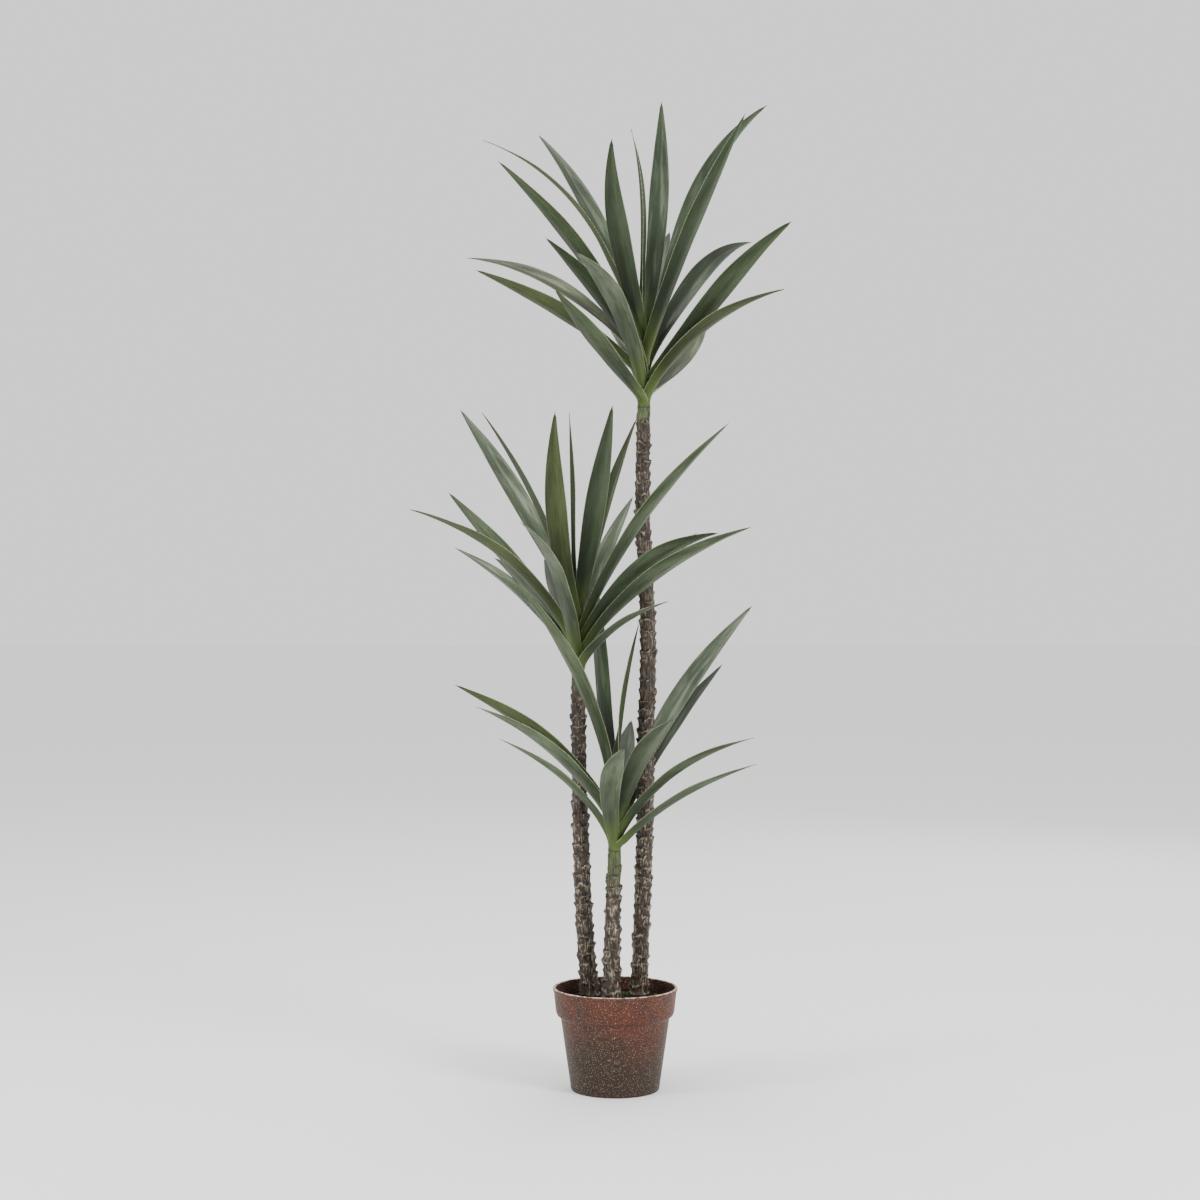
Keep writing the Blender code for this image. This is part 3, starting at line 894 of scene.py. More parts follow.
TALL = StemPlan(
    name="tall",
    axis=(
        (0.131, 0.035, 0.040),
        (0.345, 0.043, 0.025),
        (0.500, 0.045, 0.014),
        (0.650, 0.048, 0.012),
        (0.850, 0.040, 0.012),
        (0.995, 0.042, 0.012),
        (1.125, 0.041, 0.012),
    ),
    foot_radius=0.0122,
    trunk_radius=0.0122,
    top_radius=0.0100,
    neck_foot=0.990,
    neck_top=1.122,
    neck_radius=0.0086,
    olive=0.014,
    leaves=(
        Leaf(-166, 1.071, 0.238, 0.297, 0.043, late=0.015, roll=-15, tone=LeafTone.OLIVE),
        Leaf(131, 1.094, 0.240, 0.333, 0.020, late=0.003, roll=-15, tone=LeafTone.GREY),
        Leaf(-124, 1.060, 0.355, 0.230, 0.025, tone=LeafTone.GREY),
        Leaf(-117, 1.053, 0.300, 0.140, 0.015, tone=LeafTone.DEEP),
        Leaf(-105, 1.016, 0.370, 0.143, 0.040, tone=LeafTone.SILVER),
        Leaf(142, 1.053, 0.345, 0.190, 0.034, late=0.003, roll=-25, tone=LeafTone.OLIVE),
        Leaf(-132, 1.036, 0.345, 0.116, 0.015, roll=15, tone=LeafTone.OLIVE),
        Leaf(-109, 0.999, 0.375, 0.113, 0.000, tone=LeafTone.GREY),
        Leaf(-99, 1.094, 0.305, 0.224, -0.005, sway=-0.006, late_sway=-0.006, tone=LeafTone.BLUE),
        Leaf(170, 1.118, 0.018, 0.280, 0.006, late=0.005, tone=LeafTone.DEEP),
        Leaf(74, 1.106, 0.106, 0.355, 0.000, sway=-0.009, tone=LeafTone.GREY),
        Leaf(-1, 1.071, 0.180, 0.360, 0.018, late=0.020, roll=70, tone=LeafTone.GREY),
        Leaf(-64, 1.065, 0.297, 0.294, 0.013, roll=12, tone=LeafTone.BLUE),
        Leaf(-53, 1.024, 0.320, 0.193, 0.005, late=0.008, roll=-28, tone=LeafTone.GREY),
        Leaf(56, 1.046, 0.315, 0.230, 0.030, late=0.010, roll=36, tone=LeafTone.DEEP),
        Leaf(-53, 1.006, 0.305, 0.122, 0.030, tone=LeafTone.OLIVE),
        Leaf(70, 1.008, 0.305, 0.155, -0.005, sway=-0.016, tone=LeafTone.OLIVE),
        Leaf(77, 1.060, 0.195, 0.220, 0.015, tone=LeafTone.DEEP),
        Leaf(108, 1.036, 0.225, 0.198, 0.010, tone=LeafTone.DEEP),
        Leaf(103, 1.018, 0.260, 0.145, 0.015, tone=LeafTone.DEEP),
    ),
)

MIDDLE = StemPlan(
    name="middle",
    axis=(
        (0.131, -0.037, 0.036),
        (0.235, -0.045, 0.035),
        (0.360, -0.050, 0.034),
        (0.480, -0.053, 0.032),
        (0.595, -0.054, 0.030),
        (0.720, -0.055, 0.030),
    ),
    foot_radius=0.0126,
    trunk_radius=0.0122,
    top_radius=0.0102,
    neck_foot=0.592,
    neck_top=0.712,
    neck_radius=0.0086,
    olive=0.016,
    leaves=(
        Leaf(133, 0.693, 0.272, 0.314, 0.013, roll=-28, tone=LeafTone.FROST),
        Leaf(-166, 0.658, 0.143, 0.324, 0.022, tone=LeafTone.BLUE),
        Leaf(-96, 0.677, 0.265, 0.286, -0.010, sway=-0.011, late_sway=-0.002, tone=LeafTone.OLIVE),
        Leaf(-175, 0.704, 0.012, 0.281, 0.000, tone=LeafTone.DEEP),
        Leaf(-79, 0.690, 0.260, 0.282, 0.000, tone=LeafTone.BLUE),
        Leaf(35, 0.682, 0.107, 0.300, 0.009, tone=LeafTone.OLIVE),
        Leaf(-45, 0.657, 0.295, 0.295, 0.028, tone=LeafTone.FROST),
        Leaf(54, 0.655, 0.140, 0.212, 0.012, tone=LeafTone.FROST),
        Leaf(-48, 0.628, 0.350, 0.180, 0.030, roll=-14, tone=LeafTone.FROST),
        Leaf(-45, 0.646, 0.276, 0.156, 0.028, late=0.006, roll=-32, tone=LeafTone.FROST),
        Leaf(55, 0.636, 0.325, 0.180, 0.025, tone=LeafTone.OLIVE),
        Leaf(-56, 0.613, 0.225, 0.095, 0.014, roll=12, tone=LeafTone.FROST),
        Leaf(-144, 0.648, 0.223, 0.213, 0.004, roll=24, tone=LeafTone.FROST),
        Leaf(-128, 0.636, 0.360, 0.195, 0.040, tone=LeafTone.OLIVE),
        Leaf(116, 0.627, 0.310, 0.150, 0.015, tone=LeafTone.DEEP),
        Leaf(163, 0.608, 0.193, 0.180, 0.022, roll=-20, tone=LeafTone.FROST),
        Leaf(-102, 0.619, 0.345, 0.193, 0.040, roll=-30, tone=LeafTone.SILVER),
        Leaf(103, 0.648, 0.245, 0.128, 0.000, tone=LeafTone.DEEP),
    ),
)

SHORT = StemPlan(
    name="short",
    axis=(
        (0.131, -0.006, -0.020),
        (0.235, -0.004, -0.010),
        (0.347, -0.001, -0.001),
        (0.450, -0.001, 0.000),
    ),
    foot_radius=0.0140,
    trunk_radius=0.0118,
    top_radius=0.0098,
    neck_foot=0.345,
    neck_top=0.448,
    neck_radius=0.0084,
    olive=0.068,
    leaves=(
        Leaf(-154, 0.398, 0.250, 0.193, 0.022, roll=28, tone=LeafTone.OLIVE),
        Leaf(-121, 0.386, 0.355, 0.184, 0.024, tone=LeafTone.FROST),
        Leaf(-150, 0.363, 0.187, 0.151, 0.018, tone=LeafTone.FROST),
        Leaf(-137, 0.424, 0.196, 0.318, 0.033, tone=LeafTone.FROST),
        Leaf(97, 0.431, 0.240, 0.324, 0.000, sway=0.006, roll=35, tone=LeafTone.DEEP),
        Leaf(40, 0.441, 0.048, 0.237, 0.008, roll=-45, tone=LeafTone.OLIVE),
        Leaf(50, 0.386, 0.340, 0.315, 0.028, roll=24, tone=LeafTone.FROST),
        Leaf(58, 0.374, 0.325, 0.234, 0.019, tone=LeafTone.DEEP),
        Leaf(-78, 0.374, 0.350, 0.182, 0.028, tone=LeafTone.GREY),
        Leaf(84, 0.416, 0.270, 0.104, 0.000, tone=LeafTone.DEEP),
        Leaf(-88, 0.356, 0.290, 0.158, 0.022, sway=-0.011, tone=LeafTone.FROST),
        Leaf(-49, 0.363, 0.285, 0.161, 0.027, tone=LeafTone.FROST),
        Leaf(-42, 0.349, 0.260, 0.136, 0.015, tone=LeafTone.FROST),
    ),
)


# ---------------------------------------------------------------- pot and fill

@dataclass
class Pot:
    """The turned nursery pot, with its collar and small lip."""

    height: float = 0.148
    rim_radius: float = 0.0905
    base_radius: float = 0.0640
    body_top_radius: float = 0.0790
    body_top: float = 0.104
    collar_foot_radius: float = 0.0862
    collar_foot: float = 0.109
    collar_round: float = 0.005
    collar_tuck: float = 0.0016
    lip_height: float = 0.004
    lip_overhang: float = 0.0012
    wall: float = 0.0026
    floor: float = 0.004
    axis_gap: float = 0.004
    inner_rounding: tuple[float, ...] = (0.004, 0.002, 0.002, 0.0011)
    outer_rounding: tuple[float, ...] = (0.002, 0.0015, 0.0012, 0.002, 0.0006, 0.0008, 0.0013)
    sides: int = 160

    def inner(self) -> list[tuple[float, float, float]]:
        """Return the inner side's radii, heights and roundings, upwards."""
        body = between(self.base_radius, self.body_top_radius, self.floor / self.body_top)
        half = 0.5 * self.wall
        places = (
            (body - self.wall, self.floor),
            (self.body_top_radius - self.wall, self.body_top + half),
            (self.collar_foot_radius - self.wall, self.collar_foot + self.collar_round + half),
            (self.rim_radius - self.lip_overhang - self.wall, self.height),
        )
        return [(*place, rounding) for place, rounding in zip(places, self.inner_rounding)]

    def outer(self) -> list[tuple[float, float, float]]:
        """Return the outer side's radii, heights and roundings, upwards."""
        lip_foot = self.height - self.lip_height
        places = (
            (self.base_radius, 0.0),
            (self.body_top_radius, self.body_top),
            (self.collar_foot_radius - self.collar_tuck, self.collar_foot),
            (self.collar_foot_radius, self.collar_foot + self.collar_round),
            (self.rim_radius - self.lip_overhang, lip_foot - self.lip_overhang),
            (self.rim_radius, lip_foot),
            (self.rim_radius, self.height),
        )
        return [(*place, rounding) for place, rounding in zip(places, self.outer_rounding)]

    def build(self) -> list[bpy.types.Object]:
        """Return the pot as one dressed piece."""
        downwards = [*self.inner()[::-1], (self.axis_gap, self.floor, 0.0)]
        profile = softened([(self.axis_gap, 0.0, 0.0), *self.outer(), *downwards])
        # The rings up to the rim's outer edge: all of them but those of the profile's downward part.
        outer = len(profile) - len(softened([(0.0, self.height, 0.0), *downwards])) + 1
        inside = [float(ring > outer) for ring in range(len(profile)) for _ in range(self.sides)]
        rings = turned(profile, self.sides)
        piece = Loft("nursery_pot", rings, measures={"inside": inside}, crease_deg=60.0)
        item = piece.build([PotPlastic().make("moulded_terracotta")])
        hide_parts("pot")
        return [item]


class Bit(NamedTuple):
    """One loose bit on the fill: its middle, its half sizes and its turn."""

    middle: Vector
    half: Vector
    turn: float


@dataclass(frozen=True)
class Strewing:
    """Loose bits of one kind, strewn all over the fill.

    Attributes:
        name: The piece's name.
        finish: What the bits are made of.
        count: How many there are.
        seed: What tells this scatter from another.
        size: Their usual length.
    """

    name: str
    finish: Crumb
    count: int
    seed: float
    size: float


@dataclass
class Fill:
    """The set fill in the pot, with the crumbs, chips and moss that lie on it.

    A loose bit is a rough ball of so many sides and levels, cut off near its poles. Each patch of moss is
    told by its middle's x and y and its radius.
    """

    pot: Pot
    top: float = 0.131
    crown: float = 0.002
    flat_radius: float = 0.062
    fallen_radius: float = 0.084
    clear: float = 0.0003
    lump: float = 0.00128
    lump_scale: float = 90.0
    sides: int = 120
    rings: int = 46
    strewn: tuple[Strewing, ...] = (
        Strewing("bark_crumbs", Crumb((18, 14, 11), (62, 48, 36)), 240, 1.5, 0.0032),
        Strewing("pale_grit", Crumb((110, 98, 84), (184, 174, 158)), 26, 8.5, 0.00192),
    )
    strewn_radius: float = 0.080
    smallest: float = 0.35
    bit_shape: tuple[float, float, float] = (1.0, 0.62, 0.38)
    bit_sunk: float = 0.3
    bit_sides: int = 8
    bit_levels: int = 5
    bit_roughness: float = 0.35
    bit_cells: float = 1.7
    bit_lean: float = 0.5
    bit_pole: float = 0.06
    bit_crease_deg: float = 50.0
    moss_finish: Crumb = Crumb((24, 30, 13), (58, 68, 31), mottle=Pattern(900.0))
    moss: tuple[tuple[float, float, float], ...] = (
        (0.0165, 0.033, 0.0075),
        (0.009, 0.040, 0.006),
        (0.058, 0.020, 0.006),
        (-0.060, 0.010, 0.0055),
        (0.030, -0.036, 0.006),
    )
    moss_balls: int = 26
    moss_ball: tuple[float, float] = (0.0012, 0.0026)
    moss_rise: float = 0.0022
    moss_squash: float = 0.8

    def surface(self, x: float, y: float) -> float:
        """Return the lumpy top's height at a place."""
        fall = self.crown * ramp(math.hypot(x, y), self.flat_radius, self.fallen_radius)
        place = Vector((x * self.lump_scale, y * self.lump_scale, 3.0))
        softness, finer, layers = 0.9, 2.1, 4
        return self.top - fall + self.lump * noise.fractal(place, softness, finer, layers)

    def wall_radius(self, height: float) -> float:
        """Return the inner wall's radius at a height near the top, a hair clear of it."""
        _, _, collar, rim = self.pot.inner()
        share = (height - collar[1]) / (rim[1] - collar[1])
        return between(collar[0], rim[0], share) - self.clear

    def bed(self) -> bpy.types.Object:
        """Return the fill itself."""
        foot, shoulder, collar, _ = self.pot.inner()
        edge_radius = self.wall_radius(self.top - self.crown)
        side = [(self.pot.axis_gap, foot[1] + self.clear)]
        side += [(part[0] - self.clear, part[1] + self.clear) for part in (foot, shoulder, collar)]
        rings = turned(side, self.sides)
        for ring in range(self.rings, 0, -1):
            radius = edge_radius * ring / self.rings
            level = []
            for point in turned([(radius, 0.0)], self.sides)[0]:
                level.append(Vector((point.x, point.y, self.surface(point.x, point.y))))
            rings.append(level)
        piece = Loft("fill_bed", rings, crease_deg=60.0)
        item = piece.build([DarkFill().make("dark_fill")])
        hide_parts("potting_fill")
        return item

    def lump_rings(self, number: int, bit: Bit) -> list[Vector]:
        """Shape one rough lump.

        Args:
            number: Its number, which tells its roughness from another's.
            bit: Where it lies.

        Returns:
            Its points, ring by ring upwards.
        """
        points = []
        lean = self.bit_lean * math.sin(5 * bit.turn)
        spin = Matrix.Rotation(bit.turn, 3, "Z") @ Matrix.Rotation(lean, 3, "X")
        for level in range(self.bit_levels + 1):
            upward = self.bit_pole + (1 - 2 * self.bit_pole) * level / self.bit_levels
            lift = math.pi * upward - 0.5 * math.pi
            for side in range(self.bit_sides):
                angle = math.tau * side / self.bit_sides
                flat = math.cos(lift)
                ball = Vector((flat * math.cos(angle), flat * math.sin(angle), math.sin(lift)))
                place = ball * self.bit_cells + Vector((number * 3.1, 0.0, 0.0))
                rough = 1 + self.bit_roughness * noise.noise(place)
                points.append(bit.middle + spin @ (ball * bit.half * rough))
        return points

    def bits(self, name: str, places: Sequence[Bit], finish: Crumb) -> bpy.types.Object:
        """Build a scatter of small rough lumps as one piece.

        Args:
            name: The piece's name.
            places: Where they lie.
            finish: What they are made of.

        Returns:
            The dressed piece.
        """
        points: list[Vector] = []
        faces: list[tuple[int, ...]] = []
        around, levels = self.bit_sides, self.bit_levels
        for number, bit in enumerate(places):
            start = len(points)
            points += self.lump_rings(number, bit)
            for level in range(levels):
                for side in range(around):
                    low, over = start + level * around, start + (level + 1) * around
                    after = (side + 1) % around
                    faces.append((low + side, low + after, over + after, over + side))
            faces.append(tuple(reversed(range(start, start + around))))
            faces.append(tuple(range(start + levels * around, start + (levels + 1) * around)))
        mesh = bpy.data.meshes.new(name)
        mesh.from_pydata(points, [], faces)
        mesh.set_sharp_from_angle(angle=math.radians(self.bit_crease_deg))
        mesh.materials.append(finish.make(f"{name}_finish"))
        item = bpy.data.objects.new(name, mesh)
        bpy.context.scene.collection.objects.link(item)
        return item

    def scattered(self, kind: Strewing) -> list[Bit]:
        """Choose places for one kind of loose bit all over the top."""
        chosen = []
        for number in range(kind.count):
            radius = self.strewn_radius * math.sqrt(scatter(number, kind.seed, 1))
            angle = math.tau * scatter(number, kind.seed, 2)
            x, y = radius * math.cos(angle), radius * math.sin(angle)
            long = kind.size * between(self.smallest, 1.0, scatter(number, kind.seed, 3))
            half = Vector([long * share for share in self.bit_shape]) * 0.5
            middle = Vector((x, y, self.surface(x, y) + self.bit_sunk * half.z))
            chosen.append(Bit(middle, half, math.tau * scatter(number, kind.seed, 4)))
        return chosen

    def tufts(self) -> list[Bit]:
        """Return the little balls that make up the moss."""
        chosen = []
        for patch, (x, y, radius) in enumerate(self.moss):
            for number in range(self.moss_balls):
                away = radius * math.sqrt(scatter(number, patch, 5))
                angle = math.tau * scatter(number, patch, 6)
                px, py = x + away * math.cos(angle), y + away * math.sin(angle)
                size = between(*self.moss_ball, scatter(number, patch, 7))
                middle = Vector((px, py, self.surface(px, py) + self.moss_rise * (1 - away / radius)))
                chosen.append(Bit(middle, Vector((size, size, self.moss_squash * size)), angle))
        return chosen

    def build(self) -> list[bpy.types.Object]:
        """Return the fill and what lies on it, dressed."""
        pieces = [self.bed()]
        for kind in self.strewn:
            pieces.append(self.bits(kind.name, self.scattered(kind), kind.finish))
        pieces.append(self.bits("moss_tufts", self.tufts(), self.moss_finish))
        return pieces


# ---------------------------------------------------------------- stems

@dataclass
class Trunk:
    """One ringed trunk, from its flat cut on the fill to its neck.

    Each ring swells up to a rim, drops back there and leaves a crease above it. The places of the rim, the
    drop and the crease are shares of a ring's height. A noise has its cells round the trunk and per metre
    of height.
    """

    plan: StemPlan
    fill_top: float = 0.131
    clear: float = 0.0003
    flat_cut: float = 0.004
    ring_pitch: float = 0.0145
    ring_step: float = 0.0011
    rim_step: float = 0.0019
    rim_at: float = 0.78
    swell_power: float = 1.7
    drop: float = 0.11
    rim_from: float = 0.48
    rim_fade: float = 0.07
    crease_until: float = 0.14
    crease_from: float = 0.02
    crease_full: float = 0.12
    crease_strength: float = 0.8
    wear: tuple[float, float] = (0.1, 2.0)
    wear_cells: float = 1.5
    flare_height: float = 0.030
    taper_from: float = 0.35
    tilt: float = 0.0060
    tilt_noise: tuple[float, float] = (0.9, 52.0)
    raggedness: float = 0.0034
    ragged_noise: tuple[float, float] = (3.4, 95.0)
    fibre: float = 0.0007
    fibre_noise: tuple[float, float] = (4.6, 62.0)
    wobble: float = 0.0012
    wobble_rate: float = 55.0
    wobble_from: float = 0.02
    calming: float = 0.65
    calm_length: float = 0.030
    olive_fade: float = 0.01
    scar_seed: float = 17.0
    wobble_seed: float = 20.0
    sides: int = 88
    step: float = 0.0014

    def radius_at(self, height: float) -> float:
        """Return the radius between the scars, with its taper and the flare at its foot."""
        plan = self.plan
        share = (height - self.fill_top) / (plan.neck_foot - self.fill_top)
        if share < self.taper_from:
            radius = between(plan.foot_radius, plan.trunk_radius, share / self.taper_from)
        else:
            fall = (share - self.taper_from) / (1 - self.taper_from)
            radius = between(plan.trunk_radius, plan.top_radius, fall)
        flare = max(0.0, 1 - (height - self.fill_top) / self.flare_height)
        return radius - 0.5 * self.ring_step + plan.flare * flare * flare

    def scar(self, turn: float, height: float, pitch: float) -> tuple[float, float, float]:
        """Work out the bark's relief at one place.

        Args:
            turn: The way round the trunk, in radians.
            height: Height above the first ring.
            pitch: Height of one ring.

        Returns:
            How far the bark stands out, then how near it is to a rim and how deep in a crease, from 0 to 1.
        """
        seed = self.scar_seed * self.plan.neck_foot
        outward = Vector((math.cos(turn), math.sin(turn), 0.0))

        def place_in(cells: tuple[float, float]) -> Vector:
            """Return where this place lies in a noise of so many cells round the trunk and up it."""
            return outward * cells[0] + Vector((0.0, 0.0, seed + cells[1] * height))

        moved = height + self.tilt * noise.noise(place_in(self.tilt_noise))
        moved += self.raggedness * noise.noise(place_in(self.ragged_noise))
        number = math.floor(moved / pitch)
        part = moved / pitch - number
        worn = 0.5 + noise.noise(outward * self.wear_cells + Vector((3, 5, seed + number * 1.9)))
        strength = between(*self.wear, min(1.0, max(0.0, worn)))
        if part < self.rim_at:
            out = (part / self.rim_at) ** self.swell_power
            rim = ramp(part, self.rim_from, self.rim_at)
            crease = 1 - ramp(part, 0.0, self.crease_until)
        else:
            out = 1 - ramp(part, self.rim_at, self.rim_at + self.drop)
            rim = 1 - ramp(part, self.rim_at, self.rim_at + self.rim_fade)
            crease = ramp(part, self.rim_at + self.crease_from, self.rim_at + self.crease_full)
        softness, finer, layers = 0.7, 2.2, 4
        rough = noise.fractal(place_in(self.fibre_noise), softness, finer, layers)
        shown = min(1.0, strength)
        return (
            self.rim_step * strength * out + self.fibre * rough,
            rim * shown,
            crease * self.crease_strength * shown,
        )

    def build(self) -> list[bpy.types.Object]:
        """Return the trunk as one dressed piece."""
        plan = self.plan
        foot = self.fill_top + self.clear
        top = plan.neck_foot - self.clear
        ringed = top - foot - 2 * self.flat_cut
        pitch = ringed / round(ringed / self.ring_pitch)
        count = round((top - foot) / self.step)
        rings, rims, pits = [], [], []
        for station in range(count + 1):
            height = between(foot, top, station / count)
            held = min(top - self.flat_cut, max(foot + self.flat_cut, height))
            middle = plan.axis_at(held)
            shake = Vector((height * self.wobble_rate, 1.0, self.wobble_seed * plan.neck_foot))
            middle.x += self.wobble * noise.noise(shake) * ramp(height, foot, foot + self.wobble_from)
            middle.z = height
            bold = 1 - self.calming * ramp(height, top - self.calm_length, top)
            ring = []
            for side in range(self.sides):
                turn = math.tau * side / self.sides
                out, rim, pit = self.scar(turn, height - foot - self.flat_cut, pitch)
                radius = self.radius_at(height) + bold * out
                ring.append(middle + Vector((radius * math.cos(turn), radius * math.sin(turn), 0.0)))
                rims.append(bold * rim)
                pits.append(bold * pit)
            rings.append(ring)
        name = f"{plan.name}_bark"
        olive_from = plan.neck_foot - plan.olive - self.olive_fade
        finish = Bark(olive_from=olive_from, olive_to=plan.neck_foot)
        piece = Loft(name, rings, measures={"rim": rims, "pit": pits}, crease_deg=80.0)
        item = piece.build([finish.make(f"{name}_finish")])
        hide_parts(f"{plan.name}_trunk")
        return [item]


@dataclass
class Neck:
    """The green neck that carries the leaves: a shoulder, a few faint scars, shallow flutes."""

    plan: StemPlan
    scars: int = 3
    scar_pitch: float = 0.0055
    scar_depth: float = 0.0006
    scar_wave: float = 0.0012
    scar_cells: float = 2.2
    scar_fade: float = 0.004
    scar_sharpness: int = 6
    scar_seed: float = 9.0
    flute: float = 0.0004
    flutes: int = 5
    flute_twist: float = 60.0
    flute_span: Span = (0.006, 0.02)
    shoulder_share: float = 0.85
    shoulder_height: float = 0.018
    sides: int = 56
    step: float = 0.0012

    def build(self) -> list[bpy.types.Object]:
        """Return the neck as one dressed piece."""
        plan = self.plan
        count = round((plan.neck_top - plan.neck_foot) / self.step)
        shoulder_out = self.shoulder_share * (plan.top_radius - plan.neck_radius)
        scarred = self.scars * self.scar_pitch
        rings, pits = [], []
        for station in range(count + 1):
            height = between(plan.neck_foot, plan.neck_top, station / count)
            middle = plan.axis_at(height)
            up = height - plan.neck_foot
            shoulder = shoulder_out * (1 - ramp(up, 0.0, self.shoulder_height))
            fade = 1 - ramp(up, scarred - self.scar_fade, scarred)
            ring = []
            for side in range(self.sides):
                turn = math.tau * side / self.sides
                outward = Vector((math.cos(turn), math.sin(turn), 0.0))
                place = outward * self.scar_cells + Vector((0.0, 0.0, plan.neck_foot * self.scar_seed))
                part = ((up + self.scar_wave * noise.noise(place)) / self.scar_pitch) % 1.0
                crease = fade * (1 - abs(2 * part - 1)) ** self.scar_sharpness
                flute = self.flute * math.cos(self.flutes * turn + self.flute_twist * up)
                flute *= ramp(up, *self.flute_span)
                radius = plan.neck_radius_at(height) + shoulder + flute - self.scar_depth * crease
                ring.append(middle + outward * radius)
                pits.append(crease)
            rings.append(ring)
        name = f"{plan.name}_neck_stalk"
        piece = Loft(name, rings, measures={"pit": pits}, crease_deg=80.0)
        item = piece.build([NeckGreen(foot=plan.neck_foot).make(f"{name}_finish")])
        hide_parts(f"{plan.name}_neck")
        return [item]


# ---------------------------------------------------------------- leaves

class Station(NamedTuple):
    """A place on a leaf's middle line, with its across and upper directions and its share of the blade."""

    point: Vector
    across: Vector
    upper: Vector
    share: float


@dataclass
class Blade:
    """One sword leaf, from the sheath that hugs the neck to its dry point.

    Places along it, and the spans, are shares of its length. The outs are the points of its section, as
    shares of its half width.
    """

    plan: StemPlan
    leaf: Leaf
    number: int
    width: float = 0.031
    base_width: float = 0.010
    sheath_width: float = 0.0155
    sheath_span: Span = (0.0, 0.42, 1.0, 0.0)
    tip_width: float = 0.0022
    widest_at: float = 0.60
    swell_power: float = 1.1
    tip_power: float = 1.7
    point_span: Span = (0.975, 1.0, 1.0, 0.25)
    outs: tuple[float, ...] = (-1.0, -0.90, -0.62, -0.31, 0.0, 0.31, 0.62, 0.90, 1.0)
    gutter_deg: float = 22.0
    root_gutter_deg: Span = (0.05, 0.40, 14.0, 0.0)
    midrib_round: float = 0.0022
    solid_share: float = 0.0104
    roll_full_at: float = 0.50
    bend_at: float = 0.40
    late_bend: float = 256 / 27
    clear: float = 0.0003
    sheath_drop: float = 0.013
    sheath_foot: float = 0.0015
    sheath_sink: float = 0.0002
    sheath_join: float = 0.075
    sheath_pull: float = 1.1
    sheath_steps: int = 9
    clasp_radius: float = 0.0092
    clasp_reach: float = 0.93
    clasp_span: Span = (0.03, 0.24)
    middle_thickness: float = 0.0017
    edge_thickness: float = 0.0006
    edge_power: float = 1.5
    root_thickening: Span = (0.0, 0.2, 1.5, 1.0)
    tip_thinning: Span = (0.8, 1.0, 1.0, 0.45)
    tooth_pitch: float = 0.0030
    tooth_depth: float = 0.00034
    toothed_from: float = 0.10
    tooth_fade: Span = (0.94, 0.99, 1.0, 0.0)
    ripple: float = 0.0009
    ripple_rate: float = 16.0
    ripple_span: Span = (0.15, 0.5)

    def __post_init__(self) -> None:
        """Set out the blade's middle line, from the neck's side to the tip."""
        leaf = self.leaf
        heading = math.radians(leaf.heading)
        self.outward = Vector((math.cos(heading), math.sin(heading), 0.0))
        self.side = Vector((-self.outward.y, self.outward.x, 0.0))
        chord = self.outward * leaf.reach + Vector((0.0, 0.0, leaf.rise))
        upper = chord.cross(self.side).normalized()
        bend = 2 * (upper * leaf.bow + self.side * leaf.sway)
        steepness = abs((chord * self.bend_at + bend).normalized().z)
        thickness = self.solid_share * chord.length
        stand_off = self.plan.neck_radius_at(leaf.root) + self.clear + 0.5 * thickness * steepness
        self.start = self.plan.axis_at(leaf.root) + self.outward * stand_off
        self.end = self.plan.axis_at(leaf.root) + chord
        self.handle = self.start + (self.end - self.start) * self.bend_at + bend
        self.late = self.late_bend * (upper * leaf.late + self.side * leaf.late_sway)
        self.length = chord.length

    def point(self, share: float) -> Vector:
        """Return the middle line's point at a share of the blade."""
        rest = 1 - share
        early = self.start * rest * rest + self.handle * 2 * rest * share + self.end * share * share
        return early + self.late * share**3 * rest

    def forward(self, share: float) -> Vector:
        """Return the direction in which the middle line runs there."""
        early = 2 * ((self.handle - self.start) * (1 - share) + (self.end - self.handle) * share)
        return (early + self.late * share * share * (3 - 4 * share)).normalized()

    def station(self, point: Vector, forward: Vector, share: float) -> Station:
        """Set up a place on the middle line.

        Args:
            point: Where it is.
            forward: The way that the line runs.
            share: The share of the blade, which tells how far it has rolled.

        Returns:
            The place with its directions.
        """
        across = (self.side - forward * self.side.dot(forward)).normalized()
        roll = math.radians(self.leaf.roll) * smooth(share / self.roll_full_at)
        across = Matrix.Rotation(roll, 3, forward) @ across
        return Station(point, across, forward.cross(across), share)

    def stations(self) -> list[Station]:
        """Return the whole middle line: up the neck as a sheath, then out along the blade."""
        plan, leaf = self.plan, self.leaf
        low = max(plan.neck_foot + self.sheath_foot, leaf.root - self.sheath_drop)
        hug = plan.neck_radius_at(low) - self.sheath_sink
        ends = (plan.axis_at(low) + self.outward * hug, self.point(self.sheath_join))
        pull = self.sheath_pull * (ends[1] - ends[0]).length
        pulls = (Vector((0.0, 0.0, 1.0)) * pull, self.forward(self.sheath_join) * pull)
        line = []
        for step in range(self.sheath_steps):
            share = step / self.sheath_steps
            line.append(self.station(*hermite(ends, pulls, share), self.sheath_join * share))
        teeth = round(self.length * (1 - self.sheath_join) / self.tooth_pitch)
        for step in range(2 * teeth + 1):
            share = between(self.sheath_join, 1.0, step / (2 * teeth))
            line.append(self.station(self.point(share), self.forward(share), share))
        return line

    def half_width(self, share: float) -> float:
        """Return half the blade's width: a clasping root, widest past the middle, a long tip."""
        if share < self.widest_at:
            swell = math.sin(0.5 * math.pi * share / self.widest_at) ** self.swell_power
            width = between(self.base_width, self.width, swell)
            width += (self.sheath_width - self.base_width) * ramp(share, *self.sheath_span)
        else:
            fall = ((share - self.widest_at) / (1 - self.widest_at)) ** self.tip_power
            width = between(self.width, self.tip_width, fall)
        return 0.5 * width * ramp(share, *self.point_span)

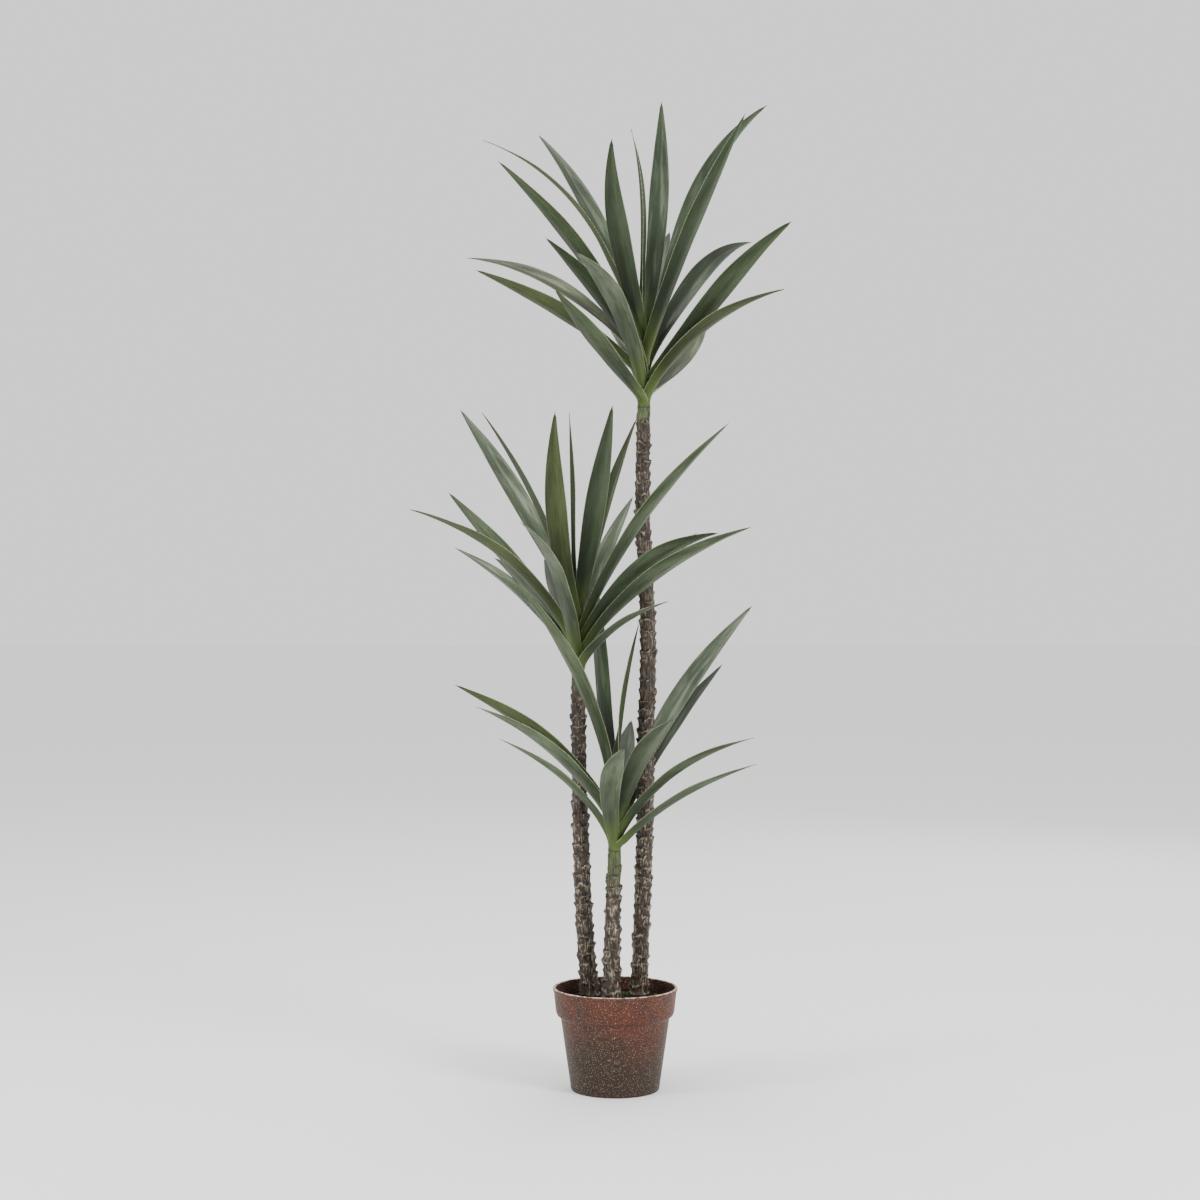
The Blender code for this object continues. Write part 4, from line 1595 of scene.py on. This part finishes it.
    def lift(self, out: float, share: float) -> float:
        """Return how far the section rises at a distance from the midrib."""
        slope = math.tan(math.radians(self.gutter_deg + ramp(share, *self.root_gutter_deg)))
        gutter = slope * (math.hypot(out, self.midrib_round) - self.midrib_round)
        held = min(abs(out), self.clasp_reach * self.clasp_radius)
        clasp = self.clasp_radius - math.sqrt(self.clasp_radius**2 - held * held)
        return between(clasp, gutter, ramp(share, *self.clasp_span))

    def thickness(self, out: float, share: float) -> float:
        """Return the blade's thickness at a share of its half width and a share of its length."""
        thick = between(self.middle_thickness, self.edge_thickness, abs(out) ** self.edge_power)
        return thick * (ramp(share, *self.root_thickening) * ramp(share, *self.tip_thinning))

    def wave(self, out: float, travelled: float, share: float) -> float:
        """Return the ripple's height at a share of the half width, so far along the blade."""
        place = Vector((travelled * self.ripple_rate, math.copysign(2, out), self.number * 3.3))
        return noise.noise(place) * (self.ripple * out * out * ramp(share, *self.ripple_span))

    def build(self, materials: Sequence[bpy.types.Material]) -> bpy.types.Object:
        """Build the leaf.

        Args:
            materials: Its upper, under and rim finishes.

        Returns:
            The dressed piece.
        """
        under = self.outs[::-1]
        places = self.stations()
        rings, along, across, distance = [], [], [], []
        travelled, before = 0.0, places[0].point
        for index, place in enumerate(places):
            travelled += (place.point - before).length
            before = place.point
            distance.append(travelled)
            half = self.half_width(place.share)
            edge = half
            if place.share > self.toothed_from and index % 2:
                edge -= self.tooth_depth * ramp(place.share, *self.tooth_fade)
            ring = []
            for face, row in ((1, self.outs), (-1, under)):
                for out in row:
                    reach = out * (edge if abs(out) == 1 else half)
                    rise = self.lift(reach, place.share) + self.wave(out, travelled, place.share)
                    rise += 0.5 * face * self.thickness(out, place.share)
                    ring.append(place.point + place.across * reach + place.upper * rise)
                    along.append(place.share)
                    across.append(out)
            rings.append(ring)
        about = [out * 0.5 * self.width for out in (*self.outs, *under)]
        about.append(about[0])
        face_count = len(self.outs) - 1
        slots = [0] * face_count + [2] + [1] * face_count + [2]
        piece = Loft(
            f"{self.plan.name}_blade_{self.number:02d}",
            rings,
            slots=slots,
            grain=(distance, about),
            measures={"along": along, "across": across},
        )
        item = piece.build(materials)
        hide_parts(f"{self.plan.name}_leaf_{self.number:02d}")
        return item


class LeafFinishes:
    """The leaf materials, made once for each tone."""

    def __init__(self) -> None:
        """Make every tone's upper and under finish, and the rim's."""
        rim = LeafRim().make("leaf_rim")
        self.by_tone: dict[LeafTone, list[bpy.types.Material]] = {}
        for tone in LeafTone:
            name = tone.name.lower()
            upper = LeafFace(tone).make(f"leaf_face_{name}")
            under = LeafBack(tone).make(f"leaf_back_{name}")
            self.by_tone[tone] = [upper, under, rim]


@dataclass
class Head:
    """One stem's head of leaves."""

    plan: StemPlan
    finishes: LeafFinishes

    def build(self) -> list[bpy.types.Object]:
        """Return the head's leaves, one dressed piece each."""
        leaves = []
        for number, leaf in enumerate(self.plan.leaves, start=1):
            leaves.append(Blade(self.plan, leaf, number).build(self.finishes.by_tone[leaf.tone]))
        return leaves


# ---------------------------------------------------------------- studio

class Lamp(NamedTuple):
    """A soft square light: its name, where it hangs, its side in metres and its power in watts."""

    name: str
    place: tuple[float, float, float]
    size: float
    power: float


@dataclass
class Studio:
    """A pale floor, soft lights and the camera, which looks level and square at the front."""

    floor_size: float = 60.0
    floor_colour: Colour = (249, 249, 248)
    haze: Pattern = Pattern(3.0, 2.0)
    floor_roughness: Span = (0.3, 0.7, 0.85, 0.95)
    sky: float = 1.2
    lamps: tuple[Lamp, ...] = (
        Lamp("key", (2.5, -2.4, 2.0), 1.1, 125.0),
        Lamp("fill", (-2.8, -1.4, 1.5), 0.9, 55.0),
        Lamp("crown", (-0.4, 0.2, 3.3), 1.2, 30.0),
        Lamp("rim", (1.6, 2.8, 2.0), 1.7, 26.0),
    )
    lit_place: tuple[float, float, float] = (0.0, 0.0, 0.75)
    eye: tuple[float, float, float] = (-0.022, -3.10, 0.71)
    lens: float = 64.0
    sensor: float = 36.0
    seen_from: float = 0.05
    seen_to: float = 200.0

    def floor(self) -> None:
        """Lay the floor and mark it as no part of the object."""
        half = 0.5 * self.floor_size
        mesh = bpy.data.meshes.new("floor")
        corners = [(-half, -half, 0.0), (half, -half, 0.0), (half, half, 0.0), (-half, half, 0.0)]
        mesh.from_pydata(corners, [], [(0, 1, 2, 3)])
        paint = Painter("studio_floor")
        rough = paint.grade(paint.upright(self.haze), *self.floor_roughness)
        mesh.materials.append(paint.finish(linear(self.floor_colour), rough))
        item = bpy.data.objects.new("floor", mesh)
        bpy.context.scene.collection.objects.link(item)
        item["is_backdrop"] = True

    def hang(self, lamp: Lamp) -> None:
        """Hang one light, aimed at the plant's middle."""
        light = bpy.data.lights.new(lamp.name, "AREA")
        light.shape = "SQUARE"
        light.size = lamp.size
        light.energy = lamp.power
        item = bpy.data.objects.new(lamp.name, light)
        item.location = lamp.place
        aim = Vector(self.lit_place) - Vector(lamp.place)
        item.rotation_euler = aim.to_track_quat("-Z", "Y").to_euler()
        bpy.context.scene.collection.objects.link(item)

    def lights(self) -> None:
        """Set the white sky and hang the lights."""
        world = bpy.data.worlds.new("studio")
        world.use_nodes = True
        background = world.node_tree.nodes["Background"]
        background.inputs["Color"].default_value = (1.0, 1.0, 1.0, 1.0)
        background.inputs["Strength"].default_value = self.sky
        bpy.context.scene.world = world
        for lamp in self.lamps:
            self.hang(lamp)

    def camera(self) -> None:
        """Set up the camera, level and square to the front."""
        data = bpy.data.cameras.new("camera")
        data.sensor_width = self.sensor
        data.lens = self.lens
        data.clip_start, data.clip_end = self.seen_from, self.seen_to
        item = bpy.data.objects.new("camera", data)
        item.location = self.eye
        item.rotation_euler = (0.5 * math.pi, 0.0, 0.0)
        bpy.context.scene.collection.objects.link(item)
        bpy.context.scene.camera = item

    def build(self) -> None:
        """Set up the whole studio."""
        self.floor()
        self.lights()
        self.camera()


def corners() -> list[list[float]]:
    """Return the shown object's lowest and highest corners as plain lists."""
    return [list(corner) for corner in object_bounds()]


def main() -> None:
    """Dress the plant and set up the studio."""
    logging.basicConfig(level=logging.INFO, format="%(name)s: %(message)s")
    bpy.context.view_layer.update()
    finishes = LeafFinishes()
    pot = Pot()
    builders: list[Callable[[], list[bpy.types.Object]]] = [pot.build, Fill(pot).build]
    for plan in (TALL, MIDDLE, SHORT):
        builders += [Trunk(plan).build, Neck(plan).build, Head(plan, finishes).build]
    for build in builders:
        for piece in build():
            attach(piece, "root")
            LOG.info("%s: %d faces", piece.name, len(piece.data.polygons))
    Studio().build()


if __name__ == "__main__":
    main()
